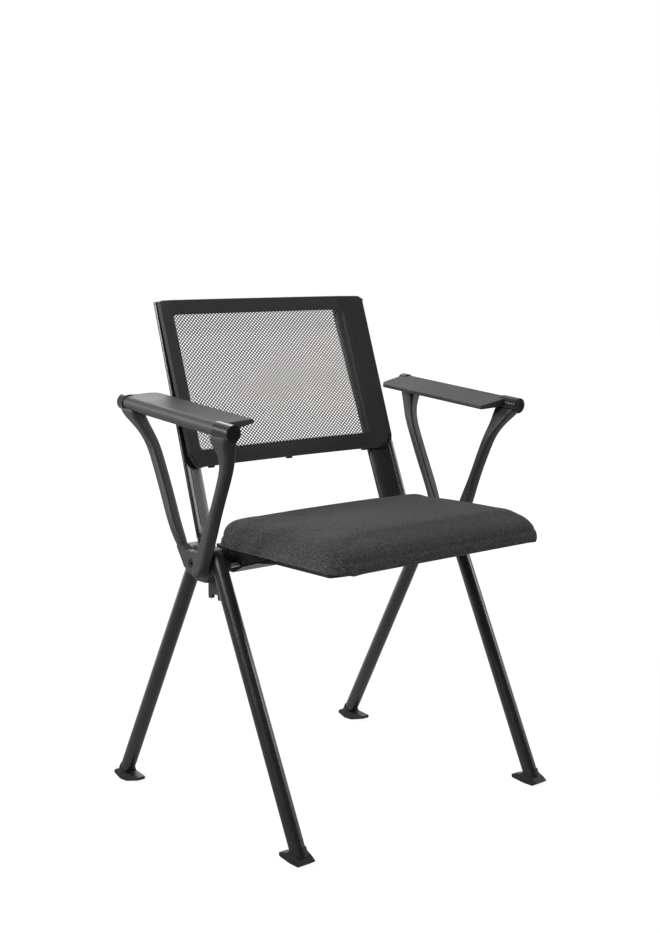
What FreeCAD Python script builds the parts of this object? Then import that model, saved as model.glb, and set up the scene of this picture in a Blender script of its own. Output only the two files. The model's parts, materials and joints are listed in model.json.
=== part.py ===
"""Nesting chair with a fold-up seat, flip-up arm pads and a mesh back.

Millimetres, +Z up. The front of the chair faces -Y and +X is the sitter's left.
The origin lies on the floor, under the middle of the chair's bounding box.
"""
import FreeCAD, Part
import math
import os
import re

import Sketcher

# Every size that can be set by itself: its name, its value in mm or degrees, and what it is.
SIZES = (
    # legs
    ("front_lean", 25.4, "front leg from vertical, its top towards the rear"),
    ("rear_lean", 28.15, "rear leg from vertical, its top towards the front"),
    ("front_leg_offset", 35.4, "axle to the front leg's axis, at axle height"),
    ("rear_leg_offset", 24.8, "axle to the rear leg's axis, at axle height"),
    ("tube_dia", 25.0, "leg tube, outside"),
    ("tube_wall", 2.0, "leg tube, wall"),
    ("leg_start", 10.0, "floor to the tube's lower end, along the leg"),
    ("leg_free", 459.0, "floor to the hub's spigot, along the leg"),
    ("fit", 0.05, "radial clearance of a tube, rod or screw in its bore"),
    ("gap", 0.3, "air between faces that move past each other or touch softly"),
    # feet
    ("foot_wall", 1.6, "foot, wall round the tube"),
    ("foot_sleeve", 23.0, "foot's sleeve, floor to its top along the leg"),
    ("foot_width", 26.0, "foot, width across the toe's root"),
    ("toe_width", 15.0, "foot, width at the toe's tip"),
    ("front_toe", 45.0, "front foot, leg axis to the toe's tip"),
    ("front_toe_rise", 1.0, "front foot, floor to the tip's underside"),
    ("front_heel", 18.4, "front foot, leg axis to the heel"),
    ("front_flat_back", 8.0, "front foot, leg axis back to the sole's end"),
    ("front_flat", 41.0, "front foot, leg axis forward to the sole's end"),
    ("rear_toe", 54.0, "rear foot, leg axis to the toe's tip"),
    ("rear_toe_rise", 8.0, "rear foot, floor to the tip's underside"),
    ("rear_heel", 14.2, "rear foot, leg axis to the heel"),
    ("rear_flat_back", -4.0, "rear foot, leg axis back to the sole's end"),
    ("rear_flat", 24.0, "rear foot, leg axis forward to the sole's end"),
    ("heel_rise", 6.5, "floor to the heel's lower edge"),
    ("toe_thick", 5.0, "toe's thickness at its tip"),
    # seat axle
    ("axle_y", 11.0, "seat axle, fore and aft"),
    ("axle_z", 428.0, "seat axle, height"),
    ("axle_dia", 16.0, "seat axle, a steel bar from hub to hub"),
    ("axle_seat", 15.0, "length of axle held in each hub"),
    ("collar_length", 15.0, "collar between the seat's bush and the hub"),
    ("collar_dia", 24.0, "collar that centres the seat on the axle"),
    # hub castings
    ("hub_side", 23.5, "hub's inner face to the plane of the legs"),
    ("hub_cheek", 15.0, "plane of the legs to the hub's outer face"),
    ("front_socket", 26.0, "length of the spigot in the front leg"),
    ("rear_socket", 41.0, "length of the spigot in the rear leg"),
    ("axle_boss", 19.0, "radius of the boss round the axle"),
    ("web_thick", 24.0, "web between the sockets"),
    ("web_drop", 32.0, "axle to the web's lower corner"),
    ("carrier_reach", 9.0, "how far the upright carrier reaches inside the hub's inner face"),
    ("carrier_start", 18.0, "axle to the carrier's front"),
    ("carrier_depth", 66.0, "axle to the carrier's rear"),
    ("carrier_top", 18.0, "carrier's top above the axle"),
    ("carrier_height", 22.0, "carrier, height"),
    # seat stops
    ("stop_dia", 8.0, "stop pin"),
    ("stop_ahead", 28.0, "stop pin ahead of the axle"),
    ("stop_below", 7.0, "stop pin below the axle"),
    ("stop_boss", 8.0, "radius of the boss round the stop pin"),
    ("stop_seat", 10.0, "length of stop pin held in the hub"),
    # row connectors
    ("hook_thick", 6.0, "row connector, thickness"),
    ("hook_top", 20.5, "row connector's top below the axle"),
    ("hook_root", 56.0, "row connector's notch below the axle"),
    ("hook_tip", 64.0, "row connector's tips below the axle"),
    ("hook_back", 11.0, "row connector, behind the axle"),
    ("hook_front", 23.0, "row connector, ahead of the axle"),
    ("hook_prong", 9.0, "row connector, a prong's width"),
    # back uprights
    ("upright_side", 23.5, "upright's foot, its centre inside the hub's inner face"),
    ("upright_y", 79.2, "upright's foot, fore and aft"),
    ("upright_z", 454.0, "upright's foot, height"),
    ("upright_top", 834.0, "upright's top, height"),
    ("back_lean", 18.7, "back panel and uprights, from vertical"),
    ("upright_inset", 12.0, "how much closer in the upright's top stands"),
    ("upright_width", 53.0, "oval upright, long axis"),
    ("upright_thick", 14.0, "oval upright, short axis"),
    ("upright_toe", 27.5, "oval's long axis, turned from straight across"),
    ("upright_groove", 2.4, "radius of the grooves along the upright"),
    ("shelf_thick", 8.0, "hub's shelf under the upright"),
    ("shelf_width", 50.0, "hub's shelf, long axis"),
    ("plate_thick", 2.0, "steel plate under the upright"),
    ("bolt_dia", 4.0, "upright bolt"),
    ("bolt_head", 8.0, "upright bolt's head"),
    ("bolt_head_height", 3.0, "upright bolt's head, height"),
    ("bolt_grip", 18.0, "upright bolt, length inside the upright"),
    ("bolt_pitch", 18.0, "upright bolts, distance apart"),
    # back panel
    ("panel_bottom", 561.0, "back panel's lower edge, height"),
    ("panel_top", 836.5, "back panel's upper edge, height"),
    ("panel_half", 226.0, "middle plane to the panel's side edge"),
    ("panel_flat", 187.0, "middle plane to where the panel's wings begin"),
    ("panel_hollow", 6.4, "depth of the panel's shallow curve"),
    ("panel_thick", 6.5, "back frame, thickness"),
    ("top_border", 25.0, "back frame, top rail"),
    ("bottom_border", 27.0, "back frame, bottom rail"),
    ("window_half", 190.0, "middle plane to the window's side"),
    ("corner_low", 26.0, "corner radius at the panel's bottom"),
    ("corner_top", 9.0, "corner radius at the panel's top"),
    ("window_corner", 8.0, "corner radius of the window"),
    ("mesh_thick", 1.0, "mesh over the back frame"),
    ("mesh_inset", 1.0, "mesh, inside the frame's outline"),
    ("panel_screw", 4.0, "screw through the upright into the back frame"),
    ("panel_screw_head", 8.0, "its head"),
    ("panel_screw_height", 2.5, "its head's height"),
    ("low_screw", 62.0, "lower screws above the panel's lower edge"),
    ("high_screw", 50.0, "upper screws below the panel's upper edge"),
    ("clip_length", 11.0, "clip under the back frame"),
    ("clip_height", 3.0, "clip, height"),
    ("clip_width", 5.0, "clip, fore and aft"),
    ("clip_pitch", 172.0, "clips, distance apart"),
    # arm brackets
    ("bracket_thick", 14.0, "arm bracket's web, on the hub"),
    ("bracket_boss", 17.5, "radius of the boss round the bracket screw"),
    ("strut_thick", 20.0, "strut, across the chair"),
    ("strut_width", 18.0, "strut, fore and aft"),
    ("strut_foot", 25.0, "front strut beside the boss, fore and aft"),
    ("front_flare", 46.0, "front strut under its knuckle, fore and aft"),
    ("rear_flare", 36.0, "rear strut under its knuckle, fore and aft"),
    ("strut_round", 6.0, "strut, corner radius"),
    ("rear_strut_y", 44.0, "rear strut at the crotch, fore and aft"),
    ("front_strut_y", -24.0, "front strut at the crotch, fore and aft"),
    ("crotch_z", 452.0, "height of the crotch between the struts"),
    ("bracket_tip", 408.0, "bracket's lowest corner, height"),
    ("screw_dia", 8.0, "bracket screw"),
    ("screw_head", 14.0, "bracket screw's head"),
    ("screw_head_height", 5.0, "bracket screw's head, height"),
    ("screw_recess", 1.0, "bracket screw's head below the bracket's face"),
    ("screw_hex", 5.0, "bracket screw's socket, across flats"),
    ("screw_grip", 13.0, "bracket screw, length in the hub"),
    # arm hinges
    ("arm_out", 35.5, "arm hinge outside the hub's outer face"),
    ("arm_y", 15.5, "arm hinge's middle, fore and aft"),
    ("arm_z", 662.5, "arm hinge's middle, height"),
    ("arm_pitch", 4.95, "arm hinge, rising to the rear"),
    ("knuckle_rad", 13.5, "bracket's knuckles, radius"),
    ("front_knuckle", 38.0, "front knuckle, length"),
    ("rear_knuckle", 15.0, "rear knuckle, length"),
    ("barrel_front", 112.0, "hinge's middle to the front knuckle"),
    ("barrel_rear", 135.0, "hinge's middle to the rear knuckle"),
    ("barrel_rad", 11.6, "pad's barrel, radius"),
    ("pin_dia", 8.0, "hinge pin"),
    ("pin_head", 17.0, "hinge pin's head, and the cap at its other end"),
    ("pin_head_height", 3.0, "hinge pin's head, height"),
    ("pin_recess", 1.2, "pin's head and cap, below the knuckle's face"),
    ("arm_bush_dia", 12.0, "bush in the barrel, outside"),
    ("arm_bush_length", 14.0, "bush in the barrel, length"),
    # arm pads
    ("pad_reach", 63.0, "hinge to the pad's inner edge"),
    ("pad_thick", 6.5, "pad's inner edge, thickness"),
    ("pad_fall", 13.0, "pad's inner edge below its root"),
    ("right_lift", 13.0, "how far the right pad stands lifted, in degrees"),
    ("pad_front", 124.0, "hinge's middle to the pad's front edge"),
    ("pad_rear", 146.0, "hinge's middle to the pad's rear edge"),
    ("pad_round", 2.6, "pad's inner edge, radius"),
    ("pad_corner", 16.0, "pad's rear corner, radius"),
    ("pad_slant", 8.0, "pad's front edge, from square"),
    ("knuckle_air", 1.2, "air between the pad and a knuckle"),
    # seat
    ("seat_half", 227.0, "middle plane to the seat's side"),
    ("seat_front", 279.0, "origin to the seat's front edge"),
    ("seat_rear", 46.0, "origin to the seat's rear edge"),
    ("seat_corner", 45.0, "seat's corner radius"),
    ("seam_z", 445.0, "seam between cushion and shell, height"),
    ("cushion_thick", 43.0, "cushion, from the seam to its top"),
    ("cushion_round", 24.0, "cushion's top edge, radius"),
    ("board_thick", 12.0, "plywood board in the cushion"),
    ("board_inset", 13.0, "board inside the cushion's outline"),
    ("shell_inset", 12.0, "shell inside the cushion's outline"),
    ("shell_wall", 3.0, "shell, wall"),
    ("shell_shallow", 10.0, "shell's depth under the front"),
    ("shell_deep", 41.0, "shell's depth round the axle"),
    ("shell_front_slope", 28.0, "length of the shell's sloping front"),
    ("shell_bend", 110.0, "origin to where the shell begins to deepen"),
    ("shell_screw_x", 150.0, "shell screws, from the middle plane"),
    ("shell_screw_front", 225.0, "front shell screws, ahead of the origin"),
    ("shell_screw_rear", 130.0, "rear shell screws, ahead of the origin"),
    ("shell_boss", 6.0, "shell's screw boss, radius"),
    ("wood_screw", 4.0, "screw into the board"),
    ("wood_screw_head", 8.0, "its head"),
    ("wood_screw_height", 2.5, "its head's height"),
    ("wood_screw_grip", 9.0, "its length in the board"),
    # seat hinges
    ("hinge_thick", 5.0, "hinge plate at the seat's side"),
    ("hinge_eye", 20.0, "hinge plate's eye, radius"),
    ("hinge_front", 106.0, "hinge plate ahead of the axle"),
    ("hinge_rear", 19.0, "hinge plate behind the axle"),
    ("flange_thick", 3.0, "hinge plate's flange under the board"),
    ("flange_width", 38.0, "hinge plate's flange, across the chair"),
    ("hinge_screw_pitch", 80.0, "hinge screws, distance apart"),
    ("bush_dia", 22.0, "bush on the axle, outside"),
    ("bush_length", 18.0, "bush on the axle, length"),
    ("bush_flange", 28.0, "bush's flange, diameter"),
    ("bush_flange_thick", 2.4, "bush's flange, thickness"),
)

doc = FreeCAD.newDocument("NestingChair")
sheet = doc.addObject("Spreadsheet::Sheet", "Sizes")
for row, (alias, number, note) in enumerate(SIZES, start=1):
    sheet.set("A%d" % row, note)
    sheet.set("B%d" % row, str(number))
    sheet.setAlias("B%d" % row, alias)
doc.recompute()

# Places across the chair that follow from the sizes, from the seat outwards.
FOLLOWING = {
    "shell_side": "(seat_half - shell_inset)",
    "hub_inner": "(shell_side + 2 * gap + hinge_thick + bush_flange_thick + collar_length)",
    "leg_plane": "(hub_inner + hub_side)",
    "hub_outer": "(leg_plane + hub_cheek)",
    "arm_x": "(hub_outer + arm_out)",
    "upright_x": "(hub_inner - upright_side)",
}
ALIASES = {alias for alias, number, note in SIZES}
X_AXIS = FreeCAD.Vector(1, 0, 0)
Y_AXIS = FreeCAD.Vector(0, 1, 0)


def cells(formula):
    """The formula with every size's name turned into its cell of the sheet."""
    while any(word in FOLLOWING for word in re.findall(r"[a-z_]+", formula)):
        formula = re.sub(r"[a-z_]+", lambda word: FOLLOWING.get(word[0], word[0]), formula)
    return re.sub(r"[a-z_]+", lambda word: "Sizes." + word[0] if word[0] in ALIASES else word[0], formula)


def size(formula):
    """The number that a formula of sizes gives."""
    return float(sheet.evalExpression(cells(formula)))


def bind(obj, **formulas):
    """Tie properties of obj to formulas of sizes. Two underscores stand for a dot."""
    for name, formula in formulas.items():
        obj.setExpression(name.replace("__", "."), cells(formula))


def place(obj, base, axis=None, angle="0"):
    """Put obj's origin at three formulas, turned about a fixed axis by a formula."""
    if axis is not None:
        obj.Placement = FreeCAD.Placement(FreeCAD.Vector(), FreeCAD.Rotation(axis, 1))
        bind(obj, Placement__Rotation__Angle=angle)
    bind(obj, Placement__Base__x=base[0], Placement__Base__y=base[1], Placement__Base__z=base[2])
    return obj


def turn_level(obj, base, axis, angle):
    """Put obj's origin at three formulas, turned about a level axis given by two formulas."""
    turn = "create(<<Rotation>>; create(<<Vector>>; {0}; {1}; 0); {2})".format(*axis, angle)
    bind(obj, Placement="create(<<Placement>>; create(<<Vector>>; {0}; {1}; {2}); {3})".format(*base, turn))
    return obj


def cylinder(name, radius, length, base, axis=None, angle="0"):
    """A round bar from base, along +Z turned about axis."""
    bar = doc.addObject("Part::Cylinder", name)
    bind(bar, Radius=radius, Height=length)
    return place(bar, base, axis, angle)


def crossbar(name, radius, start, end, y, z):
    """A round bar along +X from start to end."""
    return cylinder(name, radius, "(%s) - (%s)" % (end, start), (start, y, z), Y_AXIS, "90")


def box(name, x, y, z):
    """A box from three pairs of formulas, each from low to high."""
    block = doc.addObject("Part::Box", name)
    length, width, height = ("(%s) - (%s)" % (high, low) for low, high in (x, y, z))
    bind(block, Length=length, Width=width, Height=height)
    return place(block, (x[0], y[0], z[0]))


def fuse(name, *shapes):
    """One solid from several that overlap or touch."""
    joined = doc.addObject("Part::MultiFuse", name)
    joined.Shapes = list(shapes)
    joined.Refine = True
    return joined


def group(name, *shapes):
    """Separate solids kept together as one object."""
    several = doc.addObject("Part::Compound", name)
    several.Links = list(shapes)
    return several


def cut(name, base, *tools):
    """The base less every tool."""
    less = doc.addObject("Part::Cut", name)
    less.Base = base
    less.Tool = tools[0] if len(tools) == 1 else group(name + "_tools", *tools)
    less.Refine = True
    return less


def common(name, first, second):
    """What two solids share."""
    both = doc.addObject("Part::Common", name)
    both.Base = first
    both.Tool = second
    return both


def mirrored(obj, name):
    """The same piece on the other side of the chair."""
    twin = doc.addObject("Part::Mirroring", name)
    twin.Source = obj
    twin.Normal = X_AXIS
    return twin


def feature(name, shape):
    """A piece whose shape is worked out from the sizes in this file."""
    piece = doc.addObject("Part::Feature", name)
    piece.Shape = shape
    return piece


def plane_of(body, role):
    """One of the body's own origin planes."""
    return next(plane for plane in body.Origin.OriginFeatures if plane.Role == role)


def outline(owner, name, role, corners, arcs=None):
    """A closed sketch through the corners, each a pair of formulas.

    arcs maps the number of an edge to (radius, middle): formulas of the radius and of a
    point near the arc's middle, which says on which side it bulges.
    """
    sketch = owner.newObject("Sketcher::SketchObject", name)
    sketch.AttachmentSupport = [(plane_of(owner, role), "")]
    sketch.MapMode = "FlatFace"
    points = [FreeCAD.Vector(size(u), size(v), 0) for u, v in corners]
    ends = []
    for number, start in enumerate(points):
        stop = points[(number + 1) % len(points)]
        if arcs and number in arcs:
            middle = FreeCAD.Vector(*(size(part) for part in arcs[number][1]), 0)
            curve = Part.ArcOfCircle(start, middle, stop)
            edge = sketch.addGeometry(curve, False)
            forward = (sketch.getPoint(edge, 1) - start).Length < (sketch.getPoint(edge, 1) - stop).Length
            ends.append((1, 2) if forward else (2, 1))
        else:
            sketch.addGeometry(Part.LineSegment(start, stop), False)
            ends.append((1, 2))
    for number in range(len(points)):
        after = (number + 1) % len(points)
        sketch.addConstraint(Sketcher.Constraint("Coincident", number, ends[number][1], after, ends[after][0]))
    for number, (u, v) in enumerate(corners):
        for kind, formula in (("DistanceX", u), ("DistanceY", v)):
            rule = Sketcher.Constraint(kind, -1, 1, number, ends[number][0], size(formula))
            index = sketch.addConstraint(rule)
            sketch.setExpression("Constraints[%d]" % index, cells(formula))
    for number, (radius, middle) in (arcs or {}).items():
        index = sketch.addConstraint(Sketcher.Constraint("Radius", number, size(radius)))
        sketch.setExpression("Constraints[%d]" % index, cells(radius))
    return sketch


def pad(body, name, sketch, length, centred=False, reverse=False):
    """Grow the body from a sketch."""
    grown = body.newObject("PartDesign::Pad", name)
    grown.Profile = sketch
    grown.Midplane = centred
    grown.Reversed = reverse
    bind(grown, Length=length)
    return grown


def pocket(body, name, sketch, reverse=False, length=None):
    """Cut the body with a sketch, right through it unless a length is given."""
    sunk = body.newObject("PartDesign::Pocket", name)
    sunk.Profile = sketch
    sunk.Reversed = reverse
    if length is None:
        sunk.Type = "ThroughAll"
        sunk.Midplane = True
    else:
        bind(sunk, Length=length)
    return sunk


def rounded(body, name, base, radius, chosen):
    """Round the edges of base that chosen(edge) picks."""
    doc.recompute()
    names = ["Edge%d" % n for n, edge in enumerate(base.Shape.Edges, start=1) if chosen(edge)]
    if not names:
        raise ValueError("no edges to round on " + name)
    turned = body.newObject("PartDesign::Fillet", name)
    turned.Base = (base, names)
    bind(turned, Radius=radius)
    return turned


def runs_along(edge, axis):
    """Whether a straight edge runs along axis."""
    if edge.Curve.TypeId != "Part::GeomLine":
        return False
    return abs(edge.tangentAt(edge.FirstParameter).dot(axis)) > 0.999


# Points on the legs' axes: s is the distance from the floor, measured along the leg.
FRONT_FLOOR = "(axle_y - front_leg_offset - axle_z * tan(front_lean))"
REAR_FLOOR = "(axle_y + rear_leg_offset + axle_z * tan(rear_lean))"
TUBE_RAD = "tube_dia / 2"


def on_front_leg(s):
    return "leg_plane", "%s + (%s) * sin(front_lean)" % (FRONT_FLOOR, s), "(%s) * cos(front_lean)" % s


def on_rear_leg(s):
    return "leg_plane", "%s - (%s) * sin(rear_lean)" % (REAR_FLOOR, s), "(%s) * cos(rear_lean)" % s


LEGS = {
    "front": (on_front_leg, "-front_lean", "front_socket"),
    "rear": (on_rear_leg, "rear_lean", "rear_socket"),
}


def leg_bar(name, leg, radius, start, end):
    """A round bar along a leg, from s = start to s = end."""
    point, turn, socket = LEGS[leg]
    return cylinder(name, radius, "(%s) - (%s)" % (end, start), point(start), X_AXIS, turn)


def leg_tube(leg):
    """A leg: a round tube from inside its foot to the bottom of its socket."""
    top = "leg_free + " + LEGS[leg][2]
    outside = leg_bar(leg + "_leg_outside", leg, TUBE_RAD, "leg_start", top)
    inside = leg_bar(leg + "_leg_inside", leg, TUBE_RAD + " - tube_wall", "leg_start", top)
    return cut("left_%s_leg" % leg, outside, inside)


def foot(leg, floor, lean, turn):
    """A foot: a wedge that points under the chair, with a sleeve round the tube's end."""
    sleeve = "(tube_dia / 2 + foot_wall)"
    body = doc.addObject("PartDesign::Body", leg + "_foot_wedge")
    corners = (
        ("-{0}_heel", "heel_rise"),
        ("-{0}_flat_back", "0"),
        ("{0}_flat", "0"),
        ("{0}_toe", "{0}_toe_rise"),
        ("{0}_toe", "{0}_toe_rise + toe_thick"),
        ("foot_sleeve * sin({1}) + {2} * cos({1}) - 3", "foot_sleeve * cos({1}) - {2} * sin({1})"),
        ("foot_sleeve * sin({1})", "foot_sleeve * cos({1})"),
        ("-{2} * cos({1}) + 2", "{2} * sin({1}) + 6"),
    )
    corners = [[part.format(leg, lean, sleeve) for part in corner] for corner in corners]
    side = outline(body, leg + "_foot_side", "YZ_Plane", corners)
    wedge = pad(body, leg + "_foot_pad", side, "foot_width", centred=True)
    for sign in ("", "-"):
        taper = outline(body, leg + "_foot_taper" + ("_left" if sign else "_right"), "XY_Plane", (
            (sign + "(foot_width / 2 + 1)", "%s * cos(%s)" % (sleeve, lean)),
            (sign + "(foot_width / 2)", "%s * cos(%s)" % (sleeve, lean)),
            (sign + "toe_width / 2", leg + "_toe"),
            (sign + "toe_width / 2", leg + "_toe + 1"),
            (sign + "(foot_width / 2 + 1)", leg + "_toe + 1")))
        pocket(body, leg + "_foot_cut" + ("_left" if sign else "_right"), taper)
    place(body, ("leg_plane", floor, "0"), FreeCAD.Vector(0, 0, 1), turn)
    round_part = leg_bar(leg + "_foot_round", leg, sleeve, sleeve + " * tan(%s) + 0.5" % lean, "foot_sleeve")
    bore = leg_bar(leg + "_foot_bore", leg, TUBE_RAD + " + fit", "leg_start", "foot_sleeve + 30")
    return cut("left_%s_foot" % leg, fuse(leg + "_foot_solid", body, round_part), bore)


# A point under or over the upright's foot, u along its long axis, drop measured straight down.
UPRIGHT_RUN = "(upright_top - upright_z)"
UPRIGHT_BACK = "(%s * tan(back_lean) + upright_inset * tan(upright_toe))" % UPRIGHT_RUN


def on_upright(rise, u="0", v="0"):
    """A point on the upright's axis, rise above its foot, u outwards and v backwards."""
    share = "(%s) / %s" % (rise, UPRIGHT_RUN)
    x = "upright_x - upright_inset * {0} + ({1}) * cos(upright_toe) + ({2}) * sin(upright_toe)"
    y = "upright_y + {3} * {0} - ({1}) * sin(upright_toe) + ({2}) * cos(upright_toe)"
    return x.format(share, u, v), y.format(share, u, v, UPRIGHT_BACK), "upright_z + (%s)" % rise


def oval_bar(name, width, thick, low, high):
    """An oval bar along the upright between two heights above its foot."""
    rings = []
    for end, rise in (("low", low), ("high", high)):
        ring = doc.addObject("Part::Ellipse", "%s_%s" % (name, end))
        bind(ring, MajorRadius="(%s) / 2" % width, MinorRadius="(%s) / 2" % thick)
        rings.append(place(ring, on_upright(rise), FreeCAD.Vector(0, 0, 1), "-upright_toe"))
    bar = doc.addObject("Part::Loft", name)
    bar.Sections = rings
    bar.Solid = True
    bar.Ruled = True
    return bar


# The bar along the upright turns about an axis that lies across its slope.
SLOPE_RUN = "sqrt({0} ^ 2 + {1} ^ 2)".format(UPRIGHT_BACK, "upright_inset")
SLOPE = "atan(%s / %s)" % (SLOPE_RUN, UPRIGHT_RUN)


def along_upright(name, radius, low, high, u="0", v="0"):
    """A round bar along the upright's slope, between two heights above its foot."""
    bar = doc.addObject("Part::Cylinder", name)
    bind(bar, Radius=radius, Height="((%s) - (%s)) / cos(%s)" % (high, low, SLOPE))
    return turn_level(bar, on_upright(low, u, v), (UPRIGHT_BACK, "upright_inset"), "-(%s)" % SLOPE)


def across_upright(name, radius, length, rise, back):
    """A round bar from a point behind the upright straight towards the back frame."""
    bar = doc.addObject("Part::Cylinder", name)
    bind(bar, Radius=radius, Height=length)
    return turn_level(bar, on_upright(rise, "0", back), ("cos(upright_toe)", "-sin(upright_toe)"), "90")


BOLT_LOW = "-plate_thick - shelf_thick"
BOLT_PLACES = ("bolt_pitch / 2", "-bolt_pitch / 2")
SCREW_RISES = ("panel_bottom + low_screw - upright_z", "panel_top - high_screw - upright_z")


def upright_bores(name, extra, places):
    """The upright bolts' shanks, grown by extra."""
    return [along_upright("%s_%d" % (name, n), "bolt_dia / 2 + (%s)" % extra, BOLT_LOW, "bolt_grip", u)
            for n, u in enumerate(places)]


def hub():
    """A hub casting: spigots in the legs with domes over them, axle boss, web, stop boss and shelf."""
    parts = []
    spigots = []
    for leg, (point, turn, depth) in LEGS.items():
        end = "leg_free + " + depth
        spigots.append(leg_bar(leg + "_spigot", leg, TUBE_RAD + " - tube_wall - fit", "leg_free", end))
        dome = doc.addObject("Part::Sphere", leg + "_dome")
        bind(dome, Radius=TUBE_RAD)
        parts.append(place(dome, point(end)))
    parts.append(crossbar("axle_boss_bar", "axle_boss", "hub_inner", "hub_outer", "axle_y", "axle_z"))
    web = doc.addObject("PartDesign::Body", "hub_web")
    front = on_front_leg("leg_free + front_socket")[1:]
    rear = on_rear_leg("leg_free + rear_socket")[1:]
    corners = (
        (front[0] + " + 1", front[1]),
        (front[0] + " + 1", front[1] + " + tube_dia / 2 - 1"),
        (rear[0] + " - 1", rear[1] + " + tube_dia / 2 - 1"),
        (rear[0] + " - 1", rear[1]),
        on_rear_leg("leg_free + 10")[1:],
        ("axle_y + 12", "axle_z - web_drop"),
        ("axle_y - 16", "axle_z - web_drop"),
        on_front_leg("leg_free + 10")[1:],
    )
    pad(web, "hub_web_pad", outline(web, "hub_web_side", "YZ_Plane", corners), "web_thick", centred=True)
    place(web, ("leg_plane", "0", "0"))
    parts.append(web)
    parts.append(box("carrier", ("hub_inner - carrier_reach", "leg_plane"),
                     ("axle_y + carrier_start", "axle_y + carrier_depth"),
                     ("axle_z + carrier_top - carrier_height", "axle_z + carrier_top")))
    parts.append(oval_bar("shelf", "shelf_width", "upright_thick", "-plate_thick - shelf_thick", "-plate_thick"))
    parts.append(crossbar("stop_boss_bar", "stop_boss", "hub_inner", "leg_plane",
                          "axle_y - stop_ahead", "axle_z - stop_below"))
    legs = [leg_bar(leg + "_bore", leg, TUBE_RAD + " + fit", "leg_free - 20", "leg_free + " + socket)
            for leg, (point, turn, socket) in LEGS.items()]
    casting = cut("hub_round_legs", fuse("hub_web_and_domes", *parts), *legs)
    bores = []
    bores.append(crossbar("axle_bore", "axle_dia / 2 + fit", "hub_inner - 1", "hub_inner + axle_seat",
                          "axle_y", "axle_z"))
    bores.append(crossbar("bracket_screw_bore", "screw_dia / 2 + fit", "hub_outer - screw_grip",
                          "hub_outer + 1", "axle_y", "axle_z"))
    bores.append(crossbar("stop_bore", "stop_dia / 2 + fit", "hub_inner - 1", "hub_inner + stop_seat",
                          "axle_y - stop_ahead", "axle_z - stop_below"))
    bores.append(crossbar("hook_bore", "panel_screw / 2 + fit", "leg_plane - web_thick / 2 - 1",
                          "leg_plane - web_thick / 2 + 10", "axle_y - 6", "axle_z - web_drop + 5.5"))
    bores += upright_bores("shelf_bolt_bore", "fit", BOLT_PLACES)
    for n, u in enumerate(BOLT_PLACES):
        bores.append(along_upright("bolt_spot_face_%d" % n, "bolt_head / 2 + fit",
                                   BOLT_LOW + " - 3 * bolt_head_height", BOLT_LOW, u))
    return cut("left_hub", fuse("hub_solid", casting, *spigots), *bores)


def upright():
    """A back upright: an oval bar with a groove along its outer edge and one on its face."""
    bar = oval_bar("upright_bar", "upright_width", "upright_thick", "0", UPRIGHT_RUN)
    top = UPRIGHT_RUN + " + 5"
    tools = [
        along_upright("edge_groove", "upright_groove", "12", top, "upright_width / 2 + 0.6"),
        along_upright("face_groove", "upright_groove", "18", top, "upright_width / 2 - 9",
                      "-upright_thick / 2 - 0.2"),
    ]
    tools += upright_bores("upright_bolt_bore", "fit", BOLT_PLACES)
    for n, rise in enumerate(SCREW_RISES):
        tools.append(across_upright("upright_screw_bore_%d" % n, "panel_screw / 2 + fit",
                                    "upright_thick + 4", rise, "upright_thick / 2 + 2"))
        tools.append(across_upright("upright_spot_face_%d" % n, "panel_screw_head / 2 + fit",
                                    "panel_screw_head", rise, "upright_thick / 2 + panel_screw_head"))
    return cut("left_back_upright", bar, *tools)


def upright_plate():
    """The steel plate between the upright and its shelf."""
    plate = oval_bar("plate_bar", "upright_width + 1", "upright_thick + 1", "-plate_thick", "0")
    return cut("left_upright_plate", plate, *upright_bores("plate_bolt_bore", "fit", BOLT_PLACES))


def upright_bolts():
    """The bolts from under the shelf into the upright."""
    bolts = []
    for n, (u, shank) in enumerate(zip(BOLT_PLACES, upright_bores("bolt_shank", "0", BOLT_PLACES))):
        head = along_upright("bolt_head_%d" % n, "bolt_head / 2", BOLT_LOW + " - bolt_head_height", BOLT_LOW, u)
        bolts.append(fuse("bolt_%d" % n, shank, head))
    return bolts


def plan_band(name, front, back):
    """A slab along the back's curve, leaning like the uprights, as wide as the panel.

    front and back are distances ahead of the plane that touches the uprights' front faces.
    """
    body = doc.addObject("PartDesign::Body", name)
    root = "upright_y - upright_thick / 2 / cos(upright_toe) + (upright_x - panel_flat) * tan(upright_toe)"
    wing = "(panel_half + 5 - panel_flat) * tan(upright_toe)"
    radius = "((panel_flat ^ 2 + panel_hollow ^ 2) / 2 / panel_hollow + (%s))"
    ahead = "(%s) - (%s) / cos(upright_toe)"
    corners = []
    for distance, signs in ((front, ("-", "")), (back, ("", "-"))):
        level = ahead % (root, distance)
        side = [("%s(panel_half + 5)", level + " - " + wing), ("%spanel_flat", level)]
        corners.append((side[0][0] % signs[0], side[0][1]))
        corners.append((side[1][0] % signs[0], side[1][1]))
        corners.append((side[1][0] % signs[1], side[1][1]))
        corners.append((side[0][0] % signs[1], side[0][1]))
    arcs = {1: (radius % "0", ("0", ahead % (root, front) + " + panel_hollow")),
            5: (radius % "0", ("0", ahead % (root, back) + " + panel_hollow"))}
    section = outline(body, name + "_section", "XY_Plane", corners, arcs)
    doc.recompute()
    slab = doc.addObject("Part::Extrusion", name + "_slab")
    slab.Base = section
    slab.DirMode = "Custom"
    slab.Solid = True
    rise = "(panel_top - upright_z + 10)"
    bind(slab, Dir__x="0", Dir__y="sin(back_lean)", Dir__z="cos(back_lean)", LengthFwd=rise + " / cos(back_lean)")
    place(slab, ("0", "0", "upright_z"))
    return slab


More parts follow.
